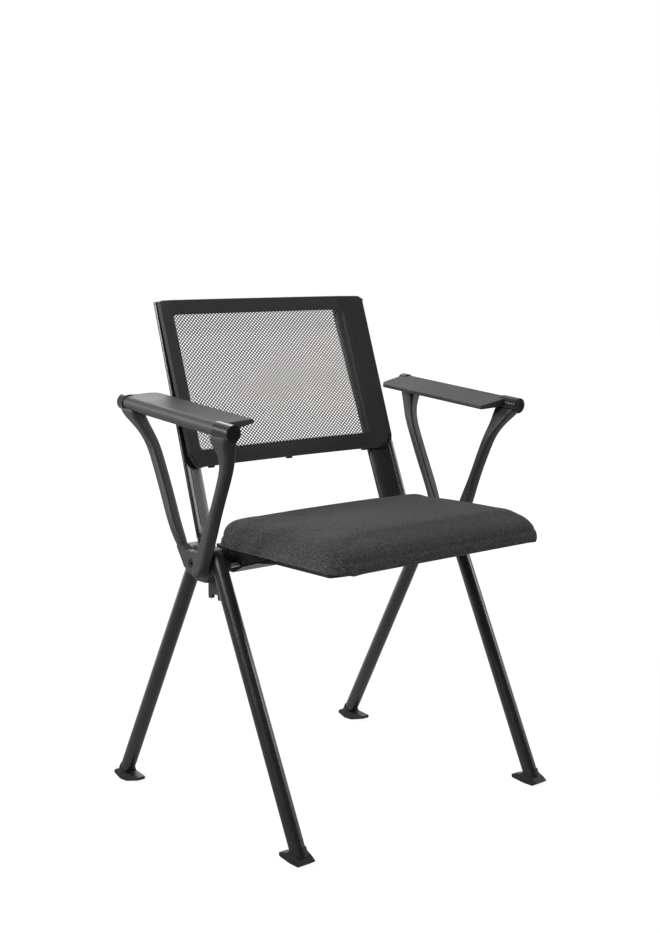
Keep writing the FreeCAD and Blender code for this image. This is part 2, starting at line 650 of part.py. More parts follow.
def front_view(name, half, low, high, radius_low, radius_high):
    """A rounded rectangle seen from the front, cut right through the back's depth."""
    body = doc.addObject("PartDesign::Body", name)
    corners = (("-(%s)" % half, low), (half, low), (half, high), ("-(%s)" % half, high))
    block = pad(body, name + "_pad", outline(body, name + "_front", "XZ_Plane", corners), "500", reverse=True)
    lower, upper = size(low), size(high)
    low_edges = rounded(body, name + "_low", block, radius_low,
                        lambda edge: runs_along(edge, Y_AXIS) and edge.CenterOfMass.z < lower + 1)
    rounded(body, name + "_high", low_edges, radius_high,
            lambda edge: runs_along(edge, Y_AXIS) and edge.CenterOfMass.z > upper - 1)
    return body


def back_frame():
    """The back frame: a shallow curved ring that lies on the uprights."""
    slab = plan_band("frame_band", "panel_thick", "0")
    outside = front_view("frame_outside", "panel_half", "panel_bottom", "panel_top", "corner_low", "corner_top")
    window = front_view("frame_window", "window_half", "panel_bottom + bottom_border", "panel_top - top_border",
                        "window_corner", "window_corner")
    tools = [window]
    for side, n, rise in ((s, n, r) for s in ("", "other_") for n, r in enumerate(SCREW_RISES)):
        bore = across_upright("%sframe_screw_bore_%d" % (side, n), "panel_screw / 2 + fit",
                              "upright_thick + panel_thick - 1", rise, "upright_thick / 2")
        tools.append(mirrored(bore, "mirrored_frame_screw_bore_%d" % n) if side else bore)
    return cut("back_frame", common("frame_panel", slab, outside), *tools)


def back_mesh():
    """The mesh stretched over the front of the back frame."""
    slab = plan_band("mesh_band", "panel_thick + gap + mesh_thick", "panel_thick + gap")
    outside = front_view("mesh_outside", "panel_half - mesh_inset", "panel_bottom + mesh_inset",
                         "panel_top - mesh_inset", "corner_low - mesh_inset", "corner_top - mesh_inset")
    return common("back_mesh", slab, outside)


def panel_screws():
    """The screws from behind the upright into the back frame."""
    screws = []
    for n, rise in enumerate(SCREW_RISES):
        shank = across_upright("panel_shank_%d" % n, "panel_screw / 2", "upright_thick + panel_thick - 1.5",
                               rise, "upright_thick / 2")
        head = across_upright("panel_head_%d" % n, "panel_screw_head / 2", "panel_screw_height", rise,
                              "upright_thick / 2 + panel_screw_height")
        screws.append(fuse("panel_screw_%d" % n, shank, head))
    return screws


def clips():
    """Three clips that hold the mesh's lower hem under the frame."""
    depth = "(upright_y - upright_thick / 2 / cos(upright_toe) + (upright_x - panel_flat) * tan(upright_toe)" \
            " + (panel_bottom - upright_z) * tan(back_lean) - panel_thick / cos(upright_toe))"
    side_bow = "panel_hollow * (1 - (clip_pitch / panel_flat) ^ 2)"
    pieces = []
    for n, (middle, bow) in enumerate((("-clip_pitch", side_bow), ("0", "panel_hollow"), ("clip_pitch", side_bow))):
        pieces.append(box("clip_%d" % n, (middle + " - clip_length / 2", middle + " + clip_length / 2"),
                          ("%s + %s" % (depth, bow), "%s + %s + clip_width" % (depth, bow)),
                          ("panel_bottom - clip_height", "panel_bottom")))
    return group("mesh_clips", *pieces)


def hook():
    """A row connector: a plate with two prongs that hangs inside the hub's web."""
    body = doc.addObject("PartDesign::Body", "hook_plate")
    back, front = "axle_y + hook_back", "axle_y - hook_front"
    corners = (
        (front, "axle_z - hook_tip"),
        (front + " + hook_prong", "axle_z - hook_tip"),
        (front + " + hook_prong", "axle_z - hook_root"),
        (back + " - hook_prong", "axle_z - hook_root"),
        (back + " - hook_prong", "axle_z - hook_tip"),
        (back, "axle_z - hook_tip"),
        (back, "axle_z - hook_top"),
        (front + " + 6", "axle_z - hook_top"),
        (front, "axle_z - hook_top - 10"),
    )
    plate = pad(body, "hook_pad", outline(body, "hook_side", "YZ_Plane", corners), "hook_thick", reverse=True)
    tips = size("axle_z - hook_tip")
    rounded(body, "hook_tips", plate, "hook_prong / 3",
            lambda edge: runs_along(edge, X_AXIS) and edge.CenterOfMass.z < tips + 1)
    place(body, ("leg_plane - web_thick / 2", "0", "0"))
    bore = crossbar("hook_plate_bore", "panel_screw / 2 + fit", "leg_plane - web_thick / 2 - hook_thick - 1",
                    "leg_plane - web_thick / 2 + 1", "axle_y - 6", "axle_z - web_drop + 5.5")
    return cut("left_row_connector", body, bore)


def hook_screw():
    """The screw that holds a row connector to the hub's web."""
    inner = "leg_plane - web_thick / 2"
    shank = crossbar("hook_shank", "panel_screw / 2", inner + " - hook_thick", inner + " + 9",
                     "axle_y - 6", "axle_z - web_drop + 5.5")
    head = crossbar("hook_head", "panel_screw_head / 2", inner + " - hook_thick - panel_screw_height",
                    inner + " - hook_thick", "axle_y - 6", "axle_z - web_drop + 5.5")
    return fuse("hook_screw", shank, head)


# Places on the arm hinge: v is the distance from the hinge's middle, towards the rear.
HINGE_TURN = "arm_pitch - 90"


def on_hinge(v):
    return "arm_x", "arm_y + (%s) * cos(arm_pitch)" % v, "arm_z + (%s) * sin(arm_pitch)" % v


def hinge_bar(name, radius, start, end):
    """A round bar along the arm hinge from v = start to v = end."""
    return cylinder(name, radius, "(%s) - (%s)" % (end, start), on_hinge(start), X_AXIS, HINGE_TURN)


FRONT_FACE = "-barrel_front - front_knuckle"
REAR_FACE = "barrel_rear + rear_knuckle"


def rounded_section(x, y, z, across, along, radius):
    """A level rounded rectangle as a closed wire, its corners always in the same order."""
    half_x, half_y = across / 2 - radius, along / 2 - radius
    edges = []
    for step, (sx, sy) in enumerate(((1, -1), (1, 1), (-1, 1), (-1, -1))):
        centre = FreeCAD.Vector(x + sx * half_x, y + sy * half_y, z)
        start = math.radians(-90 + 90 * step)
        spokes = [FreeCAD.Vector(math.cos(a), math.sin(a), 0) * radius
                  for a in (start, start + math.pi / 4, start + math.pi / 2)]
        edges.append(Part.Arc(*(centre + spoke for spoke in spokes)).toShape())
    sides = []
    for step, edge in enumerate(edges):
        after = edges[(step + 1) % 4]
        sides += [edge, Part.makeLine(edge.Vertexes[-1].Point, after.Vertexes[0].Point)]
    return Part.Wire(sides)


def strut(foot_y, knuckle_v, flare, foot):
    """A strut: it rises straight from its foot's sections, then bends outwards into its knuckle."""
    face, thick, width = size("hub_outer + fit * 6"), size("strut_thick"), size("strut_width")
    low = size("crotch_z")
    top = [size(part) for part in on_hinge(knuckle_v)]
    reach = top[2] - size("knuckle_rad") * 0.6 - low
    slope = (top[1] - foot_y) / (top[2] - low)
    swell = 2 * size("knuckle_rad") - thick
    sections = [(rise, 0.0, across, along) for rise, across, along in foot]
    # share of the height, share of the outward bend, shares of the swell and of the flare
    for rise, bend, wide, deep in ((0.3, 0.0, 0.0, 0.0), (0.6, 0.02, 0.0, 0.0), (0.76, 0.16, 0.02, 0.1),
                                   (0.88, 0.54, 0.4, 0.42), (0.96, 0.87, 0.9, 0.8), (1.0, 0.96, 0.55, 0.95)):
        sections.append((rise * reach, bend, thick + swell * wide, width + (flare - width) * deep))
    wires = []
    for rise, bend, across, along in sections:
        x = (face + across / 2) * (1 - bend) + top[0] * bend
        radius = min(size("strut_round"), along / 2.2, across / 2.2)
        wires.append(rounded_section(x, foot_y + slope * rise, low + rise, across, along, radius))
    return Part.makeLoft(wires, True, False)


def bracket_web():
    """The bracket's lower web with its boss, between and under the struts."""
    middle, low, tip = size("hub_outer"), size("crotch_z"), size("bracket_tip")
    boss_y, boss_z, boss = size("axle_y"), size("axle_z"), size("bracket_boss")
    half = size("strut_width") / 2
    rear, front = size("rear_strut_y"), size("front_strut_y")
    corners = [
        (boss_y + boss * 1.15, boss_z - boss * 0.45),
        (rear + half - 0.5, low),
        (rear - half + 1, low + 2),
        (rear - half - 9, low - 5),
        (front + half + 10, low - 5),
        (front + half - 1, low + 2),
        (front - half + 3, low),
        (front + half + 4, tip + 3),
        (front + half + 14, tip + 4),
        (boss_y - 4, boss_z - boss + 0.5),
        (boss_y + 6, boss_z - boss + 1.5),
    ]
    points = [FreeCAD.Vector(middle, y, z) for y, z in corners]
    face = Part.Face(Part.makePolygon(points + points[:1]))
    web = face.extrude(FreeCAD.Vector(size("bracket_thick"), 0, 0))
    long_edges = [edge for edge in web.Edges if abs(edge.BoundBox.XLength - size("bracket_thick")) < 1e-6]
    web = web.makeFillet(size("strut_round") / 2, long_edges)
    disc = Part.makeCylinder(boss, size("bracket_thick"), FreeCAD.Vector(middle, boss_y, boss_z), X_AXIS)
    return web.fuse(disc)


def bracket():
    """An arm bracket: two struts, their web and boss, and the hinge's knuckles."""
    thick, width, web = size("strut_thick"), size("strut_width"), size("bracket_thick - fit * 12")
    wide, tip = size("strut_foot"), size("bracket_tip - crotch_z")
    front = strut(size("front_strut_y"), "-barrel_front - front_knuckle + front_flare / 2", size("front_flare"), (
        (tip, thick * 0.9, wide * 0.5), (tip + 4, thick, wide * 0.8), (tip + 15, thick, wide),
        (0.0, thick, wide - 1), (30.0, thick, (wide + width) / 2)))
    rear = strut(size("rear_strut_y"), "barrel_rear + rear_knuckle - rear_flare / 2", size("rear_flare"), (
        (-width, web, width * 0.5), (-width / 2, web, width * 0.7), (0.0, web + 1, width), (25.0, thick - 1, width)))
    body = feature("bracket_body", bracket_web().multiFuse([front, rear]))
    knuckles = [
        hinge_bar("front_knuckle_bar", "knuckle_rad", FRONT_FACE, "-barrel_front"),
        hinge_bar("rear_knuckle_bar", "knuckle_rad", "barrel_rear", REAR_FACE),
    ]
    air = [
        hinge_bar("barrel_air", "barrel_rad + knuckle_air", "-barrel_front", "barrel_rear"),
        hinge_bar("pin_air", "pin_dia / 2 + fit", FRONT_FACE + " - 1", REAR_FACE + " + 1"),
        hinge_bar("pin_head_air", "pin_head / 2 + fit", FRONT_FACE + " - 20", FRONT_FACE + " + pin_recess + pin_head_height"),
        hinge_bar("pin_cap_air", "pin_head / 2 + fit", REAR_FACE + " - pin_recess - pin_head_height", REAR_FACE + " + 20"),
        crossbar("bracket_bore", "screw_dia / 2 + fit", "hub_outer - 1", "hub_outer + bracket_thick + 1",
                 "axle_y", "axle_z"),
        crossbar("bracket_counterbore", "screw_head / 2 + fit",
                 "hub_outer + bracket_thick - screw_recess - screw_head_height",
                 "hub_outer + bracket_thick + 1", "axle_y", "axle_z"),
    ]
    return cut("left_arm_bracket", fuse("bracket_solid", body, *knuckles), *air)


def bracket_screw():
    """The hexagon socket screw that clamps the bracket to the hub."""
    face = "hub_outer + bracket_thick - screw_recess"
    shank = crossbar("screw_shank", "screw_dia / 2", "hub_outer - screw_grip + 1",
                     face + " - screw_head_height", "axle_y", "axle_z")
    head = crossbar("screw_head_bar", "screw_head / 2", face + " - screw_head_height", face, "axle_y", "axle_z")
    hexagon = doc.addObject("Part::Prism", "screw_hexagon")
    hexagon.Polygon = 6
    bind(hexagon, Circumradius="screw_hex / 2 / cos(30)", Height="screw_head_height")
    place(hexagon, (face + " - 3", "axle_y", "axle_z"), Y_AXIS, "90")
    return cut("bracket_screw", fuse("screw_solid", shank, head), hexagon)


def hinge_pin():
    """The arm hinge's pin, its head in the front knuckle."""
    head_back = FRONT_FACE + " + pin_recess + pin_head_height"
    shaft = hinge_bar("pin_shaft", "pin_dia / 2", head_back, REAR_FACE + " - pin_recess - pin_head_height")
    head = hinge_bar("pin_head_bar", "pin_head / 2", FRONT_FACE + " + pin_recess", head_back)
    dimple = hinge_bar("pin_dimple", "pin_head / 4", FRONT_FACE + " + pin_recess - 1", FRONT_FACE + " + pin_recess + 1")
    return cut("left_arm_pin", fuse("pin_solid", shaft, head), dimple)


def hinge_cap():
    """The cap that closes the rear knuckle behind the pin's end."""
    return hinge_bar("arm_cap", "pin_head / 2", REAR_FACE + " - pin_recess - pin_head_height",
                     REAR_FACE + " - pin_recess")


BUSH_PLACES = (
    ("-barrel_front + gap", "-barrel_front + gap + arm_bush_length"),
    ("barrel_rear - gap - arm_bush_length", "barrel_rear - gap"),
)


def arm_pad():
    """An arm pad: a barrel on the hinge and a plate that reaches inwards from it."""
    body = doc.addObject("PartDesign::Body", "pad_plate")
    # seen from the front, from the hinge's axis; the plate falls towards its inner edge
    corners = (
        ("0", "barrel_rad - 0.3"),
        ("-pad_reach", "barrel_rad - 0.3 - pad_fall"),
        ("-pad_reach", "barrel_rad - 0.3 - pad_fall - pad_thick"),
        ("-barrel_rad * 0.8", "-barrel_rad * 0.4"),
        ("0", "-barrel_rad * 0.6"),
    )
    profile = outline(body, "pad_profile", "XZ_Plane", corners)
    plate = pad(body, "pad_pad", profile, "pad_front + pad_rear")
    inner = -size("pad_reach")
    rounded(body, "pad_lip", plate, "pad_round",
            lambda edge: runs_along(edge, Y_AXIS) and abs(edge.CenterOfMass.x - inner) < 0.01)
    far = "pad_reach + 5"
    corner = outline(body, "pad_corner_plan", "XY_Plane", (
        ("-pad_reach", "-pad_corner"), ("pad_corner - pad_reach", "0"), ("pad_corner - pad_reach", "5"),
        ("-(%s)" % far, "5"), ("-(%s)" % far, "-pad_corner")),
        {0: ("pad_corner", ("-pad_reach + pad_corner * 0.2929", "-pad_corner * 0.2929"))})
    pocket(body, "pad_corner_cut", corner)
    ahead = "-pad_front - pad_rear"
    slant = outline(body, "pad_slant_plan", "XY_Plane", (
        ("-(%s)" % far, ahead + " + pad_slant"), ("0", ahead), ("0", ahead + " - 5"),
        ("-(%s)" % far, ahead + " - 5")))
    pocket(body, "pad_slant_cut", slant)
    place(body, on_hinge("pad_rear"), X_AXIS, "arm_pitch")
    barrel = hinge_bar("pad_barrel", "barrel_rad", "-barrel_front + gap", "barrel_rear - gap")
    air = [
        hinge_bar("front_knuckle_air", "knuckle_rad + knuckle_air", "-pad_front - 30", "-barrel_front + gap"),
        hinge_bar("rear_knuckle_air", "knuckle_rad + knuckle_air", "barrel_rear - gap", "pad_rear + 30"),
        hinge_bar("barrel_bore", "pin_dia / 2 + 0.6", "-barrel_front", "barrel_rear"),
    ]
    for n, (start, end) in enumerate(BUSH_PLACES):
        air.append(hinge_bar("arm_bush_bore_%d" % n, "arm_bush_dia / 2 + fit", start, end))
    return cut("left_arm_pad", fuse("pad_solid", body, barrel), *air)


def arm_bushes():
    """The two bushes that the pad turns on."""
    bushes = []
    for n, (start, end) in enumerate(BUSH_PLACES):
        outside = hinge_bar("arm_bush_out_%d" % n, "arm_bush_dia / 2", start, end)
        inside = hinge_bar("arm_bush_in_%d" % n, "pin_dia / 2 + fit", start, end)
        bushes.append(cut("arm_bush_%d" % n, outside, inside))
    return group("left_arm_bushes", *bushes)


def seat_slab(name, inset, low, thick, top_round=None):
    """A flat slab with the seat's outline, smaller all round by inset."""
    body = doc.addObject("PartDesign::Body", name)
    side, front, rear = ("%s - (%s)" % (edge, inset) for edge in ("seat_half", "seat_front", "seat_rear"))
    corners = (("-(%s)" % side, "-(%s)" % front), (side, "-(%s)" % front), (side, rear), ("-(%s)" % side, rear))
    slab = pad(body, name + "_pad", outline(body, name + "_plan", "XY_Plane", corners), thick)
    last = rounded(body, name + "_corners", slab, "seat_corner - (%s)" % inset,
                   lambda edge: runs_along(edge, FreeCAD.Vector(0, 0, 1)))
    if top_round:
        doc.recompute()
        height = size(thick)
        rounded(body, name + "_top", last, top_round,
                lambda edge: edge.BoundBox.ZMin > height - 0.01)
    place(body, ("0", "0", low))
    return body


HINGE_SCREW_X = "seat_half - shell_inset - flange_width * 0.62"
HINGE_SCREW_Y = "axle_y - hinge_front + 14"


def hinge_screw_places():
    return [(HINGE_SCREW_X, HINGE_SCREW_Y), (HINGE_SCREW_X, HINGE_SCREW_Y + " + hinge_screw_pitch")]


def shell_screw_places():
    return [(sign + "shell_screw_x", "-" + y) for sign in ("", "-")
            for y in ("shell_screw_front", "shell_screw_rear")]


def board():
    """The plywood board inside the cushion."""
    slab = seat_slab("board_slab", "board_inset", "seam_z", "board_thick")
    tools = []
    for n, (x, y) in enumerate(hinge_screw_places() + shell_screw_places()):
        bore = cylinder("board_bore_%d" % n, "wood_screw / 2 + fit", "wood_screw_grip + 1", (x, y, "seam_z - 0.5"))
        tools.append(bore)
        if n < 2:
            tools.append(mirrored(bore, "board_bore_other_%d" % n))
    return cut("seat_board", slab, *tools)


def cushion():
    """The upholstered cushion, hollow underneath where the board lies."""
    block = seat_slab("cushion_slab", "0", "seam_z", "cushion_thick", "cushion_round")
    hollow = seat_slab("cushion_hollow", "board_inset - gap", "seam_z - 1", "board_thick + gap + 1")
    return cut("seat_cushion", block, hollow)


def shell_side(name, wall):
    """The seat shell's side view, pulled in by wall."""
    front, rear = "-seat_front + shell_inset", "seat_rear"
    corners = (
        (front + " + %s" % wall, "seam_z + (%s > 0 ? 1 : 0)" % wall),
        (front + " + %s" % wall, "seam_z - 4"),
        (front + " + shell_front_slope", "seam_z - shell_shallow + %s" % wall),
        ("-shell_bend", "seam_z - shell_shallow + %s" % wall),
        ("-shell_bend + 46", "seam_z - shell_shallow - 6 + %s" % wall),
        ("axle_y - 36", "seam_z - shell_deep + 13 + %s" % wall),
        ("axle_y - 10", "seam_z - shell_deep + %s" % wall),
        ("axle_y + 14", "seam_z - shell_deep + %s" % wall),
        (rear + " - 5 - %s" % wall, "seam_z - shell_deep + 10"),
        (rear + " - %s" % wall, "seam_z - 16"),
        (rear + " - %s" % wall, "seam_z + (%s > 0 ? 1 : 0)" % wall),
    )
    body = doc.addObject("PartDesign::Body", name)
    side = outline(body, name + "_side", "YZ_Plane", corners)
    slab = pad(body, name + "_pad", side, "2 * (seat_half - shell_inset - %s)" % wall, centred=True)
    low = size("seam_z - shell_deep / 2")
    rounded(body, name + "_corners", slab, "seat_corner - shell_inset - %s" % wall,
            lambda edge: runs_along(edge, FreeCAD.Vector(0, 0, 1)) and edge.CenterOfMass.y < 0 and edge.CenterOfMass.z > low)
    return body


def shell():
    """The plastic shell under the seat, deeper where it covers the axle."""
    outside = shell_side("shell_outside", "0")
    inside = shell_side("shell_inside", "shell_wall")
    tray = cut("shell_tray", outside, inside)
    bosses, tools = [], []
    for n, (x, y) in enumerate(shell_screw_places()):
        floor = "seam_z - shell_shallow + shell_wall"
        bosses.append(cylinder("shell_boss_%d" % n, "shell_boss", "shell_shallow - shell_wall + 0.5",
                               (x, y, floor + " - 0.5")))
        tools.append(cylinder("shell_bore_%d" % n, "wood_screw / 2 + fit", "shell_shallow + 2",
                              (x, y, "seam_z - shell_shallow - 1")))
        tools.append(cylinder("shell_sink_%d" % n, "wood_screw_head / 2 + fit", "wood_screw_height + 1",
                              (x, y, "seam_z - shell_shallow - 1")))
    outer = "seat_half - shell_inset"
    notch = box("shell_notch", (outer + " - flange_width - gap", outer + " + 1"),
                ("axle_y - hinge_front - gap", "axle_y + hinge_rear + gap"),
                ("seam_z - flange_thick - gap", "seam_z + 1"))
    port = crossbar("shell_port", "bush_dia / 2 + gap", outer + " - flange_width", outer + " + 1",
                    "axle_y", "axle_z")
    tools += [notch, mirrored(notch, "shell_notch_other"), port, mirrored(port, "shell_port_other")]
    return cut("seat_shell", fuse("shell_solid", tray, *bosses), *tools)


def seat_hinge():
    """A seat hinge: an eye on the axle, an arm that lands on the stop pin, and a flange."""
    inner = "seat_half - shell_inset + gap"
    outer = inner + " + hinge_thick"
    landing = "axle_z - stop_below + stop_dia / 2 + gap"
    body = doc.addObject("PartDesign::Body", "hinge_arm")
    corners = (
        ("axle_y - hinge_front", "seam_z"),
        ("axle_y - hinge_front", "seam_z - flange_thick - 2"),
        ("axle_y - 2 * stop_ahead", landing),
        ("axle_y", landing),
        ("axle_y + hinge_rear", landing),
        ("axle_y + hinge_rear", "seam_z"),
    )
    pad(body, "hinge_arm_pad", outline(body, "hinge_arm_side", "YZ_Plane", corners), "hinge_thick")
    place(body, (inner, "0", "0"))
    eye = crossbar("hinge_eye_bar", "hinge_eye", inner, outer, "axle_y", "axle_z")
    clear = crossbar("hinge_pin_air", "stop_dia / 2 + gap", inner + " - 1", outer + " + 1",
                     "axle_y - stop_ahead", "axle_z - stop_below")
    flange = box("hinge_flange", ("seat_half - shell_inset - flange_width", outer),
                 ("axle_y - hinge_front", "axle_y + hinge_rear"), ("seam_z - flange_thick", "seam_z"))
    above = box("hinge_above", (inner + " - 1", outer + " + 1"), ("axle_y - 40", "axle_y + 40"),
                ("seam_z", "seam_z + 30"))
    bores = [crossbar("hinge_bore", "bush_dia / 2 + fit", inner + " - 1", outer + " + 1", "axle_y", "axle_z")]
    for n, (x, y) in enumerate(hinge_screw_places()):
        bores.append(cylinder("hinge_screw_bore_%d" % n, "wood_screw / 2 + fit", "flange_thick + 2",
                              (x, y, "seam_z - flange_thick - 1")))
    return cut("left_seat_hinge", fuse("hinge_solid", body, eye, flange), clear, above, *bores)


def seat_bush():
    """The flanged bush that turns on the axle."""
    inner = "seat_half - shell_inset + gap"
    face = inner + " + hinge_thick"
    tube = crossbar("bush_tube", "bush_dia / 2", face + " - bush_length", face + " + bush_flange_thick",
                    "axle_y", "axle_z")
    flange = crossbar("bush_flange_bar", "bush_flange / 2", face, face + " + bush_flange_thick", "axle_y", "axle_z")
    bore = crossbar("bush_bore", "axle_dia / 2 + fit", face + " - bush_length - 1",
                    face + " + bush_flange_thick + 1", "axle_y", "axle_z")
    return cut("left_seat_bush", fuse("bush_solid", tube, flange), bore)


def collar():
    """The collar that fills the axle between the bush and the hub."""
    start = "seat_half - shell_inset + 2 * gap + hinge_thick + bush_flange_thick"
    outside = crossbar("collar_out", "collar_dia / 2", start, "hub_inner", "axle_y", "axle_z")
    inside = crossbar("collar_in", "axle_dia / 2 + fit", start + " - 1", "hub_inner + 1", "axle_y", "axle_z")
    return cut("axle_collar", outside, inside)


def stop_pin():
    """The pin that the seat's hinge lands on."""
    end = "seat_half - shell_inset + 4 * gap"
    return crossbar("stop_pin", "stop_dia / 2", end, "hub_inner + stop_seat",
                    "axle_y - stop_ahead", "axle_z - stop_below")


def wood_screw(name, x, y, head_top):
    """A screw up into the board, its head's upper face at head_top."""
    shank = cylinder(name + "_shank", "wood_screw / 2", "seam_z + wood_screw_grip - (%s)" % head_top, (x, y, head_top))
    head = cylinder(name + "_head", "wood_screw_head / 2", "wood_screw_height",
                    (x, y, head_top + " - wood_screw_height"))
    return fuse(name, shank, head)


NODES = {}


def keep(name, obj):
    """Make obj one of the chair's pieces."""
    obj.Label = name
    NODES[name] = obj


def keep_pair(name, obj):
    """Keep a left-hand piece and its right-hand twin."""
    keep("left_" + name, obj)
    keep("right_" + name, mirrored(obj, "right_" + name))


def lifted_twin(obj, name):
    """The twin of a left arm piece, turned up on the right arm's hinge."""
    twin = group(name, mirrored(obj, name + "_level"))
    middle = "create(<<Vector>>; -%s; arm_y; arm_z)" % FOLLOWING["arm_x"]
    axis = "create(<<Vector>>; 0; -cos(arm_pitch); -sin(arm_pitch))"
    turn = "create(<<Rotation>>; %s; right_lift)" % axis
    bind(twin, Placement="create(<<Placement>>; create(<<Vector>>; 0; 0; 0); %s; %s)" % (turn, middle))
    return twin


def keep_both(name, *pieces):
    """Keep one object that holds small pieces of both sides."""
    twins = [mirrored(piece, piece.Name + "_twin") for piece in pieces]
    keep(name, group(name, *pieces, *twins))


keep_pair("front_leg", leg_tube("front"))
keep_pair("rear_leg", leg_tube("rear"))
keep_pair("front_foot", foot("front", FRONT_FLOOR, "front_lean", "0"))
keep_pair("rear_foot", foot("rear", REAR_FLOOR, "rear_lean", "180"))
keep_pair("hub", hub())
keep("seat_axle", crossbar("seat_axle", "axle_dia / 2", "-hub_inner - axle_seat", "hub_inner + axle_seat",
                           "axle_y", "axle_z"))
keep_both("axle_collars", collar())
keep_both("seat_stop_pins", stop_pin())
keep_pair("row_connector", hook())
keep_both("row_connector_screws", hook_screw())

keep_pair("back_upright", upright())
keep_both("upright_plates", upright_plate())
keep_both("upright_bolts", *upright_bolts())
keep("back_frame", back_frame())
keep("back_mesh", back_mesh())
keep_both("back_frame_screws", *panel_screws())
keep("mesh_clips", clips())

keep_pair("arm_bracket", bracket())
keep_both("bracket_screws", bracket_screw())
keep_pair("arm_pin", hinge_pin())
keep_both("arm_hinge_caps", hinge_cap())
for arm_piece, made in (("arm_pad", arm_pad()), ("arm_bushes", arm_bushes())):
    keep("left_" + arm_piece, made)
    keep("right_" + arm_piece, lifted_twin(made, "right_" + arm_piece))

keep("seat_cushion", cushion())
keep("seat_board", board())
keep("seat_shell", shell())
keep_pair("seat_hinge", seat_hinge())
keep_pair("seat_bush", seat_bush())
keep_both("seat_hinge_screws", *[wood_screw("hinge_screw_%d" % n, x, y, "seam_z - flange_thick")
                                 for n, (x, y) in enumerate(hinge_screw_places())])
keep("seat_shell_screws", group("seat_shell_screws", *[
    wood_screw("shell_screw_%d" % n, x, y, "seam_z - shell_shallow + wood_screw_height")
    for n, (x, y) in enumerate(shell_screw_places())]))

doc.recompute()

for item in doc.Objects:
    troubles = {"Invalid", "Error"} & set(item.State)
    if troubles:
        raise RuntimeError("%s is %s" % (item.Name, ", ".join(sorted(troubles))))

os.makedirs("parts", exist_ok=True)
for name, obj in NODES.items():
    shape = obj.Shape
    if shape.isNull() or not shape.isValid() or not shape.Solids:
        raise RuntimeError(name + " has no valid solid")
    shape.exportStep("parts/%s.step" % name)
    print("%-24s solids %2d  volume %10.1f" % (name, len(shape.Solids), shape.Volume))
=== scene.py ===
import json
import math

import bmesh
import bpy
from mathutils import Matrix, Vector
from mathutils.bvhtree import BVHTree


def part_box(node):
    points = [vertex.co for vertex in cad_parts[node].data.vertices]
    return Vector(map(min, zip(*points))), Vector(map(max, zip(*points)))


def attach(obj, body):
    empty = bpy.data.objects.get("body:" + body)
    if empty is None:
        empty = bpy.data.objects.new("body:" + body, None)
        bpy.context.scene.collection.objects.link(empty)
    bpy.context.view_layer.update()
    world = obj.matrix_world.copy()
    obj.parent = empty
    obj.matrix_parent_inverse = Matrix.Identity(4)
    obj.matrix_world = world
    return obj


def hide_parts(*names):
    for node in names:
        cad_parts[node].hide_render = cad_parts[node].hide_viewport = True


bl_info = {
    "name": "Nesting Chair Dressing",
    "version": (1, 0, 0),
    "blender": (4, 5, 0),
    "location": "3D View > Sidebar > Chair",
    "description": "Gives a nesting chair its cushion, mesh, coatings and studio",
    "category": "Object",
}

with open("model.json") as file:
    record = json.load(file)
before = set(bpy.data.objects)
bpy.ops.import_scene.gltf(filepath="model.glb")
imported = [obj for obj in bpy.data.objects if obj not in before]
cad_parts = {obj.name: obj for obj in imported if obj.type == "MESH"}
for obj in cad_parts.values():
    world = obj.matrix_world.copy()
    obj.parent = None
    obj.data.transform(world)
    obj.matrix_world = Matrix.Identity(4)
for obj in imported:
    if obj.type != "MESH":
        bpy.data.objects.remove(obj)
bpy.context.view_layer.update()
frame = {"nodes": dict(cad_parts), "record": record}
NODES = frame["nodes"]
HINGE = next(joint for joint in frame["record"]["behaviour"]["joints"] if joint["name"] == "left_arm_flip")
# Level direction from the camera's side of the studio to the white backdrop.
BACKDROP = (0.65, 0.76, 0.0)
# Strength of the room's plain light on rough surfaces, and of its darkest side in reflections.
ROOM_LIGHT = 0.28
ROOM_DARK = 0.06
# Strength of the floor's white as the camera sees it.
FLOOR_GLOW = 1.08
# Height over the cushion's lower face that the board inside holds still.
BOARD_BAND = 0.014
# How far the mesh leans back between its lower and its upper edge.
MESH_LEAN = 0.093


class ChairFinish(bpy.types.PropertyGroup):
    """Colours and roughness of the coatings, metals and plastics."""

    tube_colour: bpy.props.FloatVectorProperty(
        name="Tube coating", description="Powder coat on the legs and uprights",
        subtype="COLOR", default=(0.012, 0.012, 0.0125), min=0.0, max=1.0)
    tube_roughness: bpy.props.FloatProperty(
        name="Tube roughness", description="Roughness of the powder coat",
        default=0.26, min=0.0, max=1.0, subtype="FACTOR")
    casting_colour: bpy.props.FloatVectorProperty(
        name="Casting coating", description="Matte coat on the arm brackets and hubs",
        subtype="COLOR", default=(0.026, 0.026, 0.027), min=0.0, max=1.0)
    casting_roughness: bpy.props.FloatProperty(
        name="Casting roughness", description="Roughness of the castings' coat",
        default=0.44, min=0.0, max=1.0, subtype="FACTOR")
    arm_colour: bpy.props.FloatVectorProperty(
        name="Arm pads", description="Moulded plastic of the arm pads",
        subtype="COLOR", default=(0.026, 0.026, 0.027), min=0.0, max=1.0)
    plastic_colour: bpy.props.FloatVectorProperty(
        name="Black plastic", description="Feet, shell, back frame and caps",
        subtype="COLOR", default=(0.009, 0.009, 0.0095), min=0.0, max=1.0)
    steel_colour: bpy.props.FloatVectorProperty(
        name="Bright steel", description="Axle, plates, pins and screws",
        subtype="COLOR", default=(0.56, 0.56, 0.57), min=0.0, max=1.0)


